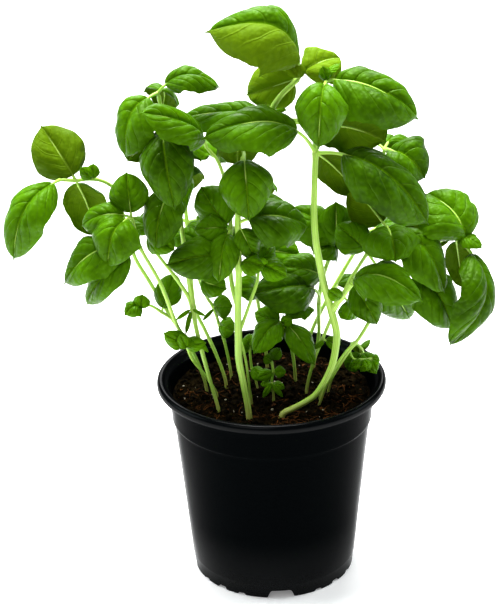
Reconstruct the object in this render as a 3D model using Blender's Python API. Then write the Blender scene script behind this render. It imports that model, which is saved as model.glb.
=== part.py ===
"""Basil plant in a round plastic nursery pot.

Blender 4.5, metres, +Z up. The origin is the centre of the pot's base, on the
surface that the pot stands on, and the plant's best side looks along -Y.
Lengths in the tables below are in millimetres and become metres in the meshes.
"""
import math
from collections import namedtuple

import bmesh
import bpy
from mathutils import Matrix, Vector

MM = 0.001

# ---------------------------------------------------------------- driving sizes
POT_HEIGHT = 118.8
RIM_RADIUS = 65.0
FOOT_RADIUS = 46.4
WALL = 1.3
FLOOR_UNDERSIDE = 3.4
LEDGE_HEIGHT = 95.0
LEDGE_RADIUS = 55.9
BAND_RADIUS = 58.4
LIP_DEPTH = 5.0
POT_SIDES = 32
CENTRE_PAD_RADIUS = 10.0

FOOT_TURN = 4.0          # degrees the foot's notches are turned from the front
NOTCH_HEIGHT = 4.9

SOIL_LEVEL = 106.5
SOIL_GAP = 0.4
SOIL_SIDES = 20
HOLE_DEPTH = 20.0
HOLE_CLEARANCE = 0.8

BLADE_THICKNESS = 0.8
PETIOLE_HALF_WIDTH = 0.85
PETIOLE_HALF_DEPTH = 0.7
STEM_SIDES = 6
PHASE_STEP = 1.3         # shift of the waved edge from one leaf to the next

UP = (0, 0, 1)
FRONT = (0, -1, 0.4)
BEHIND = (0, 1, 0.4)
FRONT_UP = (0, -0.6, 1)

# ---------------------------------------------------------------- plant layout
# Leaf: node is the number of the stem point it grows from, tip is where its tip
# is, wide its width, face the way its upper side looks, cup the bend of each
# half in degrees (below zero makes a gutter), arch how far it bows, as a share
# of its length, and stalk the share of its length that is bare petiole.
Leaf = namedtuple("Leaf", "node tip wide face cup arch stalk",
                  defaults=(FRONT_UP, 35, 0.2, 0.14))
Stem = namedtuple("Stem", "path thick thin leaves")

SHOOTS = {
    "shoot_tall_right": [
        Stem([(5, -32, 109), (12, -31, 113), (24, -29, 120), (33, -25, 135),
              (36, -21, 152), (33, -19, 166), (29, -17, 182), (25, -16, 205),
              (24, -15, 224), (25, -13, 255), (26, -12, 269), (31, -10, 294)],
             2.5, 1.3, [
            Leaf(9, (84, -34, 221), 40, (0.1, -0.6, 1), 50, 0.25, 0.22),
            Leaf(9, (-35, -24, 268), 37, (0, -0.5, 1), 42, 0.30, 0.26),
            Leaf(9, (51, 14, 220), 21, (-0.2, 1, 0.3), 25, 0.12),
            Leaf(10, (64, 4, 255), 36, (0.3, 0.9, 0.4), 20, 0.12),
            Leaf(11, (26, -30, 263), 31, (-0.1, -0.9, 0.6), 42, 0.46),
            Leaf(11, (79, -20, 275), 42, (0.4, -0.6, 0.85), 52, 0.18, 0.08),
            Leaf(11, (29, -14, 303), 7, FRONT),
            Leaf(11, (38, -7, 302), 7, UP),
        ]),
        Stem([(26, -12, 269), (17, -11, 272), (2, -9, 274), (6, -7, 284),
              (17, -4, 294)], 1.7, 1.35, [
            Leaf(2, (-47, 12, 268), 25, (0, -0.5, 1), 32, 0.08),
            Leaf(2, (10, -13, 279), 6, UP),
            Leaf(2, (-3, -9, 281), 6, UP),
            Leaf(4, (-32, -12, 322), 49, (0, -0.45, 1), 50, 0.38),
            Leaf(4, (39, 5, 302), 27, (0.1, -0.6, 0.9), 25, 0.2),
            Leaf(4, (-11, 9, 281), 27, (0, -1, 0.3), 24, 0.1, 0.1),
            Leaf(4, (17, -8, 303), 7, FRONT),
            Leaf(4, (9, -7, 304), 7, FRONT),
        ]),
        Stem([(33, -19, 166), (38, -21, 174), (44, -23, 184)], 1.8, 1.4, [
            Leaf(2, (81, -41, 180), 31, (0.1, -0.6, 1), 42, 0.32, 0.05),
            Leaf(1, (31, -27, 182), 8, FRONT),
        ]),
    ],
    "shoot_centre": [
        Stem([(-13, -32, 109), (-16, -29, 129), (-18, -27, 141), (-18, -25, 155),
              (-18, -23, 170), (-17, -21, 194), (-17, -18, 218), (-16, -15, 240),
              (-13, -13, 255)], 2.5, 1.2, [
            Leaf(8, (-11, -31, 224), 31, (0, -1, 0.35), 36, 0.32),
            Leaf(8, (-17, 24, 236), 28, UP, 35, 0.25),
            Leaf(6, (21, -10, 212), 37, (0.2, -0.6, 1), 42, 0.22),
            Leaf(5, (-3, -26, 195), 14, FRONT_UP, 30, 0.25),
            Leaf(6, (-8, -15, 196), 15, FRONT, 30, 0.2),
        ]),
        Stem([(-18, -23, 170), (-21, -17, 182), (-22, -11, 197), (-21, -7, 210),
              (-22, -5, 231), (-27, -6, 249), (-33, -9, 258)], 1.3, 0.9, [
            Leaf(3, (-28, -24, 186), 19, (-0.2, -1, 0.4), 32, 0.30),
            Leaf(3, (-37, 2, 232), 25, (-0.4, -1, 0.3), 25, 0.10),
            Leaf(3, (-41, -9, 211), 18, (-0.3, -0.9, 0.6), 30, 0.25),
            Leaf(2, (-56, -24, 197), 25, (0, -0.9, 0.6), 32, 0.20),
            Leaf(6, (-66, -31, 285), 27, (0, -0.6, 1), 36, 0.16),
        ]),
        Stem([(-18, -25, 155), (-12, -20, 170), (-7, -15, 183), (-6, -12, 192)],
             1.0, 0.8, [
            Leaf(3, (9, -18, 186), 14, (0, -0.9, 0.5), 32, 0.25),
            Leaf(3, (-6, -21, 199), 10, FRONT, 30, 0.2),
            Leaf(3, (2, -4, 200), 11, FRONT, 30, 0.2),
        ]),
    ],
    "shoot_tall_left": [
        Stem([(-30, -24, 109), (-34, -20, 124), (-40, -16, 149), (-42, -13, 159),
              (-44, -10, 176), (-46, -8, 193), (-48, -6, 215), (-50, -4, 236),
              (-54, -2, 260), (-56, -1, 273), (-58, 0, 286)], 1.4, 1.0, [
            Leaf(10, (-25, 4, 287), 22, (0, -0.4, 1), 30, 0.32),
            Leaf(10, (-76, -12, 254), 33, (-0.6, -0.6, 0.6), 36, 0.26),
            Leaf(8, (-77, 14, 243), 22, (-0.3, 0.9, 0.4), 25, 0.16),
            Leaf(10, (-57, 25, 269), 21, (0.25, -0.3, 1), 30, 0.2),
            Leaf(9, (-50, -29, 230), 31, (-0.05, -1, 0.25), 38, 0.28, 0.2),
            Leaf(8, (-50, 6, 211), 19, (0.5, -0.9, 0.2), 20, 0.15),
            Leaf(7, (-61, -24, 205), 25, (-0.3, -0.9, 0.5), 34, 0.28),
        ]),
        Stem([(-42, -13, 159), (-45, -11, 172), (-53, -9, 185), (-62, -8, 198),
              (-64, -8, 207)], 1.2, 0.8, [
            Leaf(4, (-51, -26, 206), 17, (0.1, -1, 0.4), 30, 0.3),
            Leaf(4, (-80, 0, 214), 16, UP, 30, 0.2),
            Leaf(4, (-55, 12, 212), 16, UP, 30, 0.2),
        ]),
    ],
    "shoot_left": [
        Stem([(-31, -6, 109), (-36, -8, 121), (-44, -10, 134), (-47, -12, 144),
              (-53, -14, 160), (-60, -16, 183), (-70, -18, 205), (-74, -17, 222)],
             1.2, 0.95, [
            Leaf(7, (-76, -12, 246), 22, (0, -0.95, 0.5), 25, 0.14),
            Leaf(7, (-101, -16, 217), 21, (-0.3, -0.7, 0.8), 32, 0.3),
            Leaf(7, (-87, -34, 200), 30, (-0.3, -0.9, 0.5), 34, 0.40),
            Leaf(6, (-112, -22, 186), 29, (-0.6, -0.6, 0.6), 34, 0.32),
            Leaf(6, (-101, -14, 170), 20, (0, -0.7, 0.7), 34, 0.22),
            Leaf(3, (-59, -22, 156), 11, FRONT, 24, 0.2, 0.1),
            Leaf(3, (-50, -24, 156), 9, FRONT, 24, 0.2, 0.1),
            Leaf(3, (-36, -21, 149), 9, (-0.2, -1, 0.4), 24, 0.2, 0.1),
        ]),
    ],
    "shoot_far_left": [
        Stem([(-37, 3, 109), (-41, 2, 125), (-47, 2, 139), (-55, 3, 153),
              (-67, 5, 175), (-75, 7, 190), (-80, 6, 214), (-82, 3, 229),
              (-88, 0, 236), (-95, -2, 239), (-104, -4, 239), (-112, -8, 241)],
             1.25, 1.0, [
            Leaf(10, (-122, 6, 267), 30, (0.2, -1, 0.5), 15, 0.08, 0.1),
            Leaf(10, (-95, 6, 202), 25, (0.1, 0.9, 0.2), 26, 0.1, 0.08),
            Leaf(11, (-138, -24, 201), 28, (-0.4, -0.9, 0.5), 34, 0.34, 0.08),
            Leaf(9, (-101, -6, 247), 8, FRONT),
            Leaf(9, (-94, -3, 248), 8, FRONT),
        ]),
        Stem([(-55, 3, 153), (-61, 2, 158), (-67, 2, 162), (-72, 2, 161)],
             0.9, 0.8, [
            Leaf(3, (-81, -6, 160), 13, FRONT_UP, 35, 0.3),
            Leaf(1, (-53, 8, 179), 16, (0.2, -0.9, 0.4), 25, 0.15),
            Leaf(3, (-71, -3, 171), 10, FRONT),
        ]),
    ],
    "shoot_mid_left": [
        Stem([(-23, 21, 109), (-26, 18, 130), (-29, 14, 144), (-32, 10, 157),
              (-35, 8, 163), (-37, 6, 169), (-39, 4, 176), (-39, 2, 187),
              (-36, 0, 196)], 1.1, 0.9, [
            Leaf(6, (-24, -5, 174), 16, FRONT, 28, 0.2),
            Leaf(2, (-20, 6, 144), 13, FRONT, 28, 0.2),
            Leaf(3, (-21, 4, 160), 14, FRONT, 28, 0.2),
            Leaf(8, (-54, 14, 200), 18, (-0.3, -0.4, 1), 35, 0.25),
            Leaf(8, (-22, 8, 206), 18, UP, 30, 0.25),
            Leaf(8, (-40, 22, 204), 18, UP, 30, 0.25),
        ]),
    ],
    "shoot_back_left": [
        Stem([(-26, 11, 109), (-31, 12, 126), (-37, 15, 140), (-43, 19, 153),
              (-45, 25, 175), (-46, 31, 200), (-48, 36, 222), (-50, 38, 238)],
             1.3, 1.0, [
            Leaf(7, (-64, 58, 220), 26, UP, 35, 0.3),
            Leaf(7, (-22, 46, 230), 26, UP, 35, 0.3),
            Leaf(7, (-38, 66, 224), 24, UP, 35, 0.3),
            Leaf(6, (-46, 70, 204), 24, (0, 0.5, 1), 38, 0.3),
            Leaf(5, (-78, 40, 188), 26, (-0.4, 0, 1), 38, 0.3),
            Leaf(5, (-20, 38, 182), 22, UP, 38, 0.26),
        ]),
    ],
    "shoot_low_centre": [
        Stem([(14, 16, 109), (12, 8, 130), (8, 3, 145), (7, 0, 151)], 1.3, 1.0, [
            Leaf(3, (-10, -17, 140), 18, (-0.3, -0.8, 0.6), 32, 0.3),
            Leaf(3, (24, -16, 132), 15, (0.2, -0.9, 0.5), 32, 0.3),
            Leaf(3, (25, 11, 154), 15, UP, 30, 0.2),
            Leaf(3, (-9, 3, 156), 14, FRONT, 30, 0.2),
            Leaf(3, (12, -9, 157), 8, FRONT, 30, 0.2),
        ]),
    ],
    "shoot_right": [
        Stem([(20, 0, 109), (24, -4, 129), (29, -5, 143), (35, -6, 159),
              (40, -5, 169), (45, -2, 178), (54, 0, 192), (64, -3, 208)],
             1.2, 0.95, [
            Leaf(7, (67, -31, 199), 34, (0, -0.55, 1), 30, 0.22),
            Leaf(7, (95, -19, 175), 30, (0.3, -0.6, 0.9), 36, 0.26),
            Leaf(7, (45, 6, 229), 26, (0, 1, 0.2), 20, 0.1),
            Leaf(6, (80, 21, 142), 26, (0, -0.9, 0.4), 25, 0.12),
            Leaf(5, (59, -10, 153), 19, (0, -0.9, 0.3), 30, 0.25),
            Leaf(4, (50, 11, 151), 20, (0, -0.9, 0.3), 30, 0.22),
            Leaf(6, (37, 3, 208), 21, (0, -0.9, 0.5), 28, 0.22),
        ]),
    ],
    "shoot_far_right": [
        Stem([(27, -12, 109), (35, -13, 125), (43, -12, 138), (49, -10, 145),
              (55, -7, 154), (63, -3, 166), (76, 0, 183), (88, 0, 194),
              (95, -2, 200), (102, -4, 201), (107, -6, 198)], 1.25, 1.0, [
            Leaf(10, (86, 9, 223), 46, (0.5, -0.7, 0.6), 34, 0.28, 0.1),
            Leaf(9, (74, 12, 208), 27, (0, 0.95, 0.2), 18, 0.14),
            Leaf(9, (108, 6, 167), 16, (0, 0.9, 0.2), 28, 0.15),
            Leaf(10, (97, -24, 145), 32, (0.8, -0.7, 0.25), 36, 0.32, 0.08),
            Leaf(9, (115, -14, 199), 14, (0.5, -0.5, 0.8), 25, 0.2),
            Leaf(6, (100, -12, 150), 29, (0.2, -0.8, 0.7), 30, 0.3),
        ]),
        Stem([(43, -12, 138), (46, -5, 140), (49, 1, 136), (52, 4, 130)], 0.9, 0.8, [
            Leaf(3, (43, 3, 120), 11, FRONT, -30, 0.3),
            Leaf(3, (59, -6, 121), 12, FRONT, 40, 0.3),
            Leaf(3, (51, 18, 122), 12, UP, -30, 0.3),
        ]),
    ],
    "shoot_back_right": [
        Stem([(25, 30, 109), (28, 27, 130), (28, 24, 152), (30, 22, 168),
              (36, 20, 186), (45, 19, 198), (60, 18, 212), (62, 19, 228),
              (64, 20, 245)], 1.35, 1.0, [
            Leaf(2, (-10, -4, 170), 31, (0, -0.7, 0.8), 42, 0.3, 0.34),
            Leaf(4, (12, 18, 213), 27, (0, -0.6, 0.8), 38, 0.30),
            Leaf(4, (37, 10, 219), 24, (0.1, -1, 0.3), 28, 0.2),
            Leaf(4, (24, 2, 191), 20, (0, -0.7, 0.7), 30, 0.25),
            Leaf(3, (5, 12, 180), 24, (0, -0.8, 0.7), 34, 0.25),
            Leaf(8, (86, 8, 232), 38, (0.4, -0.9, 0.5), 30, 0.30),
            Leaf(8, (46, 36, 236), 24, UP, 35, 0.3),
            Leaf(8, (76, 48, 226), 24, UP, 35, 0.3),
            Leaf(6, (82, 44, 196), 26, (0.3, 0.4, 1), 38, 0.3),
        ]),
    ],
    "shoot_rear": [
        Stem([(-2, 36, 109), (-4, 38, 130), (-8, 41, 155), (-9, 44, 178),
              (-8, 46, 194), (-8, 48, 208)], 1.4, 1.0, [
            Leaf(5, (-38, 56, 196), 27, UP, 38, 0.3),
            Leaf(5, (21, 60, 184), 27, (0.3, 0, 1), 34, 0.14),
            Leaf(5, (-4, 80, 196), 26, (0, 0.4, 1), 38, 0.3),
            Leaf(5, (-11, 24, 216), 22, UP, 35, 0.3),
            Leaf(3, (-40, 64, 170), 26, (-0.3, 0.4, 1), 40, 0.3),
            Leaf(3, (22, 66, 172), 26, (0.3, 0.4, 1), 40, 0.3),
            Leaf(3, (18, 24, 182), 24, (0, -0.9, 0.4), 30, 0.2),
            Leaf(2, (-20, 16, 166), 16, (0, -0.9, 0.4), 30, 0.2),
        ]),
    ],
    "shoot_rear_right": [
        Stem([(20, 44, 109), (26, 46, 128), (36, 48, 148), (46, 49, 166),
              (56, 48, 184)], 1.6, 1.0, [
            Leaf(4, (88, 58, 168), 26, (0.3, 0.3, 1), 38, 0.3),
            Leaf(4, (44, 76, 178), 25, (0, 0.5, 1), 38, 0.3),
            Leaf(2, (62, 66, 138), 22, (0.3, 0.3, 1), 38, 0.3),
        ]),
    ],
    "seedling_front": [
        Stem([(1, -6, 109), (0, -8, 117), (1, -9, 125), (0, -9, 132)], 0.9, 0.8, [
            Leaf(1, (7, -13, 116), 5.5, FRONT_UP, 25, 0.2),
            Leaf(1, (-6, -12, 118), 5.5, FRONT_UP, 25, 0.2),
            Leaf(2, (-8, -13, 123), 7, FRONT, 25, 0.2),
            Leaf(2, (8, -10, 125), 7, FRONT, 25, 0.2),
            Leaf(3, (-4, -14, 137), 7, FRONT, 25, 0.2),
            Leaf(3, (5, -6, 138), 7, FRONT, 25, 0.2),
        ]),
    ],
    "seedling_left": [
        Stem([(-8, 4, 109), (-11, 2, 122), (-12, 0, 136)], 0.9, 0.8, [
            Leaf(1, (-4, -7, 119), 8, FRONT, 20, 0.2),
            Leaf(2, (-19, -4, 139), 9, FRONT, 20, 0.2),
            Leaf(2, (-3, -3, 141), 9, FRONT, 20, 0.2),
            Leaf(2, (-11, 9, 140), 9, UP, 20, 0.2),
        ]),
    ],
}

# Blade rows as shares of the blade's length, and cells across, by leaf length.
ROWS_LARGE = (0.13, 0.36, 0.62, 0.86)
ROWS_MEDIUM = (0.20, 0.50, 0.82)
ROWS_SMALL = (0.33, 0.72)
LARGE_LENGTH = 48.0
SMALL_LENGTH = 22.0


# ---------------------------------------------------------------- leaf geometry
def outline(t):
    """Half width of an ovate blade at t, as a share of its greatest."""
    return (1.0 - t) ** 0.5 * t ** 0.45 / 0.5185


def bow(leaf, root):
    """The three points of the quadratic curve that the leaf's midrib follows."""
    start, tip = Vector(root), Vector(leaf.tip)
    chord = tip - start
    along = chord.normalized()
    face = Vector(leaf.face)
    face = (face - along * face.dot(along)).normalized()
    lift = face * (2.0 * leaf.arch * chord.length)
    return start, start + chord * 0.42 + lift, tip, face


def midrib(curve, s):
    """Point, side, face and direction on the midrib at s from root to tip."""
    a, b, c, face = curve
    point = a * (1 - s) ** 2 + b * (2 * s * (1 - s)) + c * s ** 2
    along = ((b - a) * (1 - s) + (c - b) * s).normalized()
    normal = (face - along * face.dot(along)).normalized()
    return point, along.cross(normal), normal


def blade_point(leaf, curve, t, v, phase):
    """Middle surface of the blade at t along it and v (-1 to 1) across it."""
    point, side, normal = midrib(curve, leaf.stalk + (1 - leaf.stalk) * t)
    half = max(0.5 * leaf.wide * outline(t), 0.45)
    bend = math.radians(leaf.cup)
    across = half * math.sin(bend * v) / bend
    drop = half * (1 - math.cos(bend * v)) / bend
    puff = 0.16 * half * math.sin(math.pi * abs(v) ** 0.8)
    wave = 0.13 * half * v * v * math.sin(10.0 * t + phase + (1.7 if v > 0 else 0.0))
    return point + side * across + normal * (puff + wave - drop)


def leaf_rows(leaf, root, phase, half_thickness):
    """Rows of (upper, lower) points from the petiole's root to the blade's tip."""
    curve = bow(leaf, root)
    shares, cells = leaf_level(leaf, root)
    rows = []
    for s in (0.0, leaf.stalk):
        point, side, normal = midrib(curve, s)
        row = []
        for v in (-1.0, 1.0):
            middle = point + side * (PETIOLE_HALF_WIDTH * v)
            high = normal * PETIOLE_HALF_DEPTH
            row.append((middle + high, middle - high))
        rows.append(row)
    for t in shares:
        row = []
        for j in range(cells + 1):
            v = 2.0 * j / cells - 1.0
            middle = blade_point(leaf, curve, t, v, phase)
            step_t = blade_point(leaf, curve, t + 0.02, v, phase) \
                - blade_point(leaf, curve, t - 0.02, v, phase)
            step_v = blade_point(leaf, curve, t, v + 0.05, phase) \
                - blade_point(leaf, curve, t, v - 0.05, phase)
            normal = step_v.cross(step_t).normalized()
            row.append((middle + normal * half_thickness, middle - normal * half_thickness))
        rows.append(row)
    tip, _, normal = midrib(curve, 1.0)
    rows.append([(tip + normal * half_thickness, tip - normal * half_thickness)])
    return rows


def leaf_level(leaf, root):
    """Blade rows and cells across that a leaf of this length gets."""
    length = (Vector(leaf.tip) - Vector(root)).length
    if length < SMALL_LENGTH:
        return ROWS_SMALL, 2
    return (ROWS_LARGE if length > LARGE_LENGTH else ROWS_MEDIUM), 4


def strip(a, b):
    """Triangles between two rows; b has one point, as many as a, or more cells per cell."""
    cells = len(a) - 1
    if len(b) == 1:
        return [(a[j], a[j + 1], b[0]) for j in range(cells)]
    split = (len(b) - 1) // cells
    faces = []
    for j in range(cells):
        first, middle, end = split * j, split * j + split // 2, split * (j + 1)
        faces.append((a[j], a[j + 1], b[middle]))
        faces += [(a[j], b[k + 1], b[k]) for k in range(first, middle)]
        faces += [(a[j + 1], b[k + 1], b[k]) for k in range(middle, end)]
    return faces


def leaf_shell(leaf, root, phase, half_thickness=BLADE_THICKNESS / 2):
    """Closed triangle shell of a leaf: both faces are split along the same lines."""
    rows = leaf_rows(leaf, root, phase, half_thickness)
    upper = [pair[0] for row in rows for pair in row]
    lower = [pair[1] for row in rows for pair in row]
    low = len(upper)
    numbers, first = [], 0
    for row in rows:
        numbers.append(list(range(first, first + len(row))))
        first += len(row)
    faces = []
    for a, b in zip(numbers, numbers[1:]):
        for face in strip(a, b):
            faces.append(face)
            faces.append(tuple(low + i for i in reversed(face)))
        left, left_on, right, right_on = a[0], b[0], a[-1], b[-1]
        faces += [(left, left_on, low + left_on), (left, low + left_on, low + left)]
        faces += [(right, low + right, low + right_on), (right, low + right_on, right_on)]
    for i, n in zip(numbers[0], numbers[0][1:]):
        faces += [(i, low + n, n), (i, low + i, low + n)]
    return upper + lower, faces


# ---------------------------------------------------------------- stem geometry
def stem_tube(path, thick, thin, twist=0.0):
    """Six-sided tube along a stem's points, thinning from root to tip."""
    points = [Vector(p) for p in path]
    side = Vector((0.0, 1.0, 0.0)).cross(points[1] - points[0])
    if side.length < 1e-3:
        side = Vector((1.0, 0.0, 0.0))
    verts, faces = [], []
    last = len(points) - 1
    for i, point in enumerate(points):
        along = (points[min(i + 1, last)] - points[max(i - 1, 0)]).normalized()
        side = (side - along * side.dot(along)).normalized()
        other = along.cross(side)
        radius = thick + (thin - thick) * i / last
        for k in range(STEM_SIDES):
            turn = 2 * math.pi * k / STEM_SIDES + twist
            verts.append(point + side * (radius * math.cos(turn))
                         + other * (radius * math.sin(turn)))
    for i in range(last):
        for k in range(STEM_SIDES):
            a, b = i * STEM_SIDES + k, i * STEM_SIDES + (k + 1) % STEM_SIDES
            c, d = b + STEM_SIDES, a + STEM_SIDES
            faces += [(a, b, c), (a, c, d)]
    for k in range(1, STEM_SIDES - 1):
        faces.append((0, k + 1, k))
        top = last * STEM_SIDES
        faces.append((top, top + k, top + k + 1))
    return verts, faces


def rooted(path):
    """A main stem's points, carried straight down into its hole in the soil."""
    x, y, z = path[0]
    return [(x, y, SOIL_LEVEL - HOLE_DEPTH + 1.5)] + list(path)


# ---------------------------------------------------------------- Blender objects
def material(name, colour, roughness):
    made = bpy.data.materials.new(name)
    made.use_nodes = True
    shader = made.node_tree.nodes["Principled BSDF"]
    shader.inputs["Base Color"].default_value = (*colour, 1.0)
    shader.inputs["Roughness"].default_value = roughness
    shader.inputs["Metallic"].default_value = 0.0
    return made


def solid(name, verts, faces, finish=None, collection=None):
    mesh = bpy.data.meshes.new(name)
    mesh.from_pydata([Vector(v) * MM for v in verts], [], faces)
    mesh.update()
    thing = bpy.data.objects.new(name, mesh)
    (collection or bpy.context.scene.collection).objects.link(thing)
    if finish:
        mesh.materials.append(finish)
    return thing


def apply_modifiers(thing):
    """Bake the object's modifiers into its own mesh."""
    depsgraph = bpy.context.evaluated_depsgraph_get()
    baked = bpy.data.meshes.new_from_object(thing.evaluated_get(depsgraph))
    thing.modifiers.clear()
    thing.data = baked


def join_with(thing, collection, operation="UNION", solver="EXACT"):
    """One Boolean of the object with a whole collection, which is then removed."""
    boolean = thing.modifiers.new("join", "BOOLEAN")
    boolean.operation = operation
    boolean.operand_type = "COLLECTION"
    boolean.collection = collection
    boolean.solver = solver
    apply_modifiers(thing)
    for used in list(collection.objects):
        bpy.data.objects.remove(used)
    bpy.data.collections.remove(collection)


def new_collection(name):
    made = bpy.data.collections.new(name)
    bpy.context.scene.collection.children.link(made)
    return made


def keep_largest(thing):
    """Drop loose scraps and sealed hollows, so that one closed body is left."""
    work = bmesh.new()
    work.from_mesh(thing.data)
    bmesh.ops.remove_doubles(work, verts=work.verts, dist=1e-6)
    bmesh.ops.dissolve_degenerate(work, edges=work.edges, dist=1e-6)
    work.faces.ensure_lookup_table()
    seen, groups = set(), []
    for face in work.faces:
        if face.index in seen:
            continue
        group, edge_front = [], [face]
        seen.add(face.index)
        while edge_front:
            here = edge_front.pop()
            group.append(here)
            for edge in here.edges:
                for near in edge.link_faces:
                    if near.index not in seen:
                        seen.add(near.index)
                        edge_front.append(near)
        groups.append(group)
    groups.sort(key=len)
    loose = [face for group in groups[:-1] for face in group]
    bmesh.ops.delete(work, geom=loose, context="FACES")
    bmesh.ops.triangulate(work, faces=work.faces)
    work.to_mesh(thing.data)
    work.free()
    return len(groups)


# ---------------------------------------------------------------- pot
def wall_radius(z):
    """Outer radius of the tapered wall between the foot and the ledge."""
    return FOOT_RADIUS + (LEDGE_RADIUS - FOOT_RADIUS) * z / LEDGE_HEIGHT


def pot_profile():
    """Radius and height round the pot's section, from its base centre to its floor."""
    lip = POT_HEIGHT - LIP_DEPTH
    inner_floor = FLOOR_UNDERSIDE + WALL
    return [
        (0.0, 0.0), (CENTRE_PAD_RADIUS, 0.0), (CENTRE_PAD_RADIUS + 1.5, FLOOR_UNDERSIDE),
        (FOOT_RADIUS - 3.0, FLOOR_UNDERSIDE), (FOOT_RADIUS - 2.2, 0.0),
        (FOOT_RADIUS - 0.5, 0.0), (FOOT_RADIUS, 0.6),
        (LEDGE_RADIUS, LEDGE_HEIGHT), (LEDGE_RADIUS + 0.9, LEDGE_HEIGHT + 1.2),
        (BAND_RADIUS, lip - 1.5), (BAND_RADIUS + 1.8, lip), (RIM_RADIUS - 0.5, lip + 0.4),
        (RIM_RADIUS, lip + 2.0), (RIM_RADIUS - 0.6, POT_HEIGHT - 0.8),
        (RIM_RADIUS - 2.0, POT_HEIGHT), (RIM_RADIUS - 4.0, POT_HEIGHT - 0.8),
        (BAND_RADIUS + 0.2, lip + 0.6), (BAND_RADIUS - WALL, lip - 2.0),
        (LEDGE_RADIUS - WALL, LEDGE_HEIGHT),
        (FOOT_RADIUS - WALL, inner_floor), (0.0, inner_floor),
    ]


def turned_solid(name, profile, sides, finish):
    """A solid of revolution of a profile that starts and ends on the axis."""
    verts = [Vector((0, 0, profile[0][1])), Vector((0, 0, profile[-1][1]))]
    rings = profile[1:-1]
    for radius, z in rings:
        for k in range(sides):
            turn = 2 * math.pi * k / sides
            verts.append(Vector((radius * math.cos(turn), radius * math.sin(turn), z)))
    faces = []
    for k in range(sides):
        n = (k + 1) % sides
        faces.append((0, 2 + n, 2 + k))
        top = 2 + (len(rings) - 1) * sides
        faces.append((1, top + k, top + n))
        for i in range(len(rings) - 1):
            a, b = 2 + i * sides + k, 2 + i * sides + n
            faces.append((a, b, b + sides, a + sides))
    return solid(name, verts, faces, finish)


def prism(name, corners, depth_from, depth_to, turn, collection):
    """A cutter: a flat outline in XZ drawn out along -Y, turned about the pot's axis."""
    count = len(corners)
    verts = [Vector((x, -y, z)) for y in (depth_from, depth_to) for x, z in corners]
    faces = [tuple(range(count)), tuple(reversed(range(count, 2 * count)))]
    for i in range(count):
        n = (i + 1) % count
        faces.append((n, i, count + i, count + n))
    rotation = Matrix.Rotation(math.radians(turn), 3, "Z")
    cutter = solid(name, [rotation @ v for v in verts], faces, None, collection)
    cutter.hide_render = True
    cutter.display_type = "WIRE"
    return cutter


def build_pot():
    black = material("black_plastic", (0.012, 0.013, 0.014), 0.38)
    pot = turned_solid("pot", pot_profile(), POT_SIDES, black)
    cutters = new_collection("pot_cutters")
    wide = [(-8.4, -1), (8.4, -1), (8.0, 0.6), (5.8, NOTCH_HEIGHT), (-5.8, NOTCH_HEIGHT),
            (-8.0, 0.6)]
    small = [(-3.4, -1), (3.4, -1), (2.0, 1.5), (-2.0, 1.5)]
    middle = [(-4.4, -1), (4.4, -1), (2.6, 2.2), (-2.6, 2.2)]
    for quarter in range(4):
        base = FOOT_TURN + 90 * quarter
        for kind, shape, turn in (("wide", wide, 0), ("left", small, -28.5),
                                  ("right", small, 28.5), ("middle", middle, 45)):
            prism(f"notch_{kind}_{quarter}", shape, FOOT_RADIUS - 8, FOOT_RADIUS + 6,
                  base + turn, cutters)
    drain = [(5.0 * math.cos(a), 5.0 * math.sin(a))
             for a in (2 * math.pi * k / 8 for k in range(8))]
    for hole in range(6):
        turn = math.radians(FOOT_TURN + 30 + 60 * hole)
        centre = Vector((28 * math.cos(turn), 28 * math.sin(turn), 0))
        verts = [centre + Vector((x, y, z)) for z in (-2.0, 9.0) for x, y in drain]
        faces = [tuple(reversed(range(8))), tuple(range(8, 16))]
        faces += [(i, (i + 1) % 8, 8 + (i + 1) % 8, 8 + i) for i in range(8)]
        solid(f"drain_{hole}", verts, faces, None, cutters)
    join_with(pot, cutters, "DIFFERENCE")
    return pot


# ---------------------------------------------------------------- soil
def soil_height(radius, turn):
    """Gentle mounds in the potting soil, level round the edge."""
    swell = math.sin(3 * turn + radius / 9) + 0.7 * math.cos(5 * turn - radius / 7)
    return SOIL_LEVEL + 0.8 * swell


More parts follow.
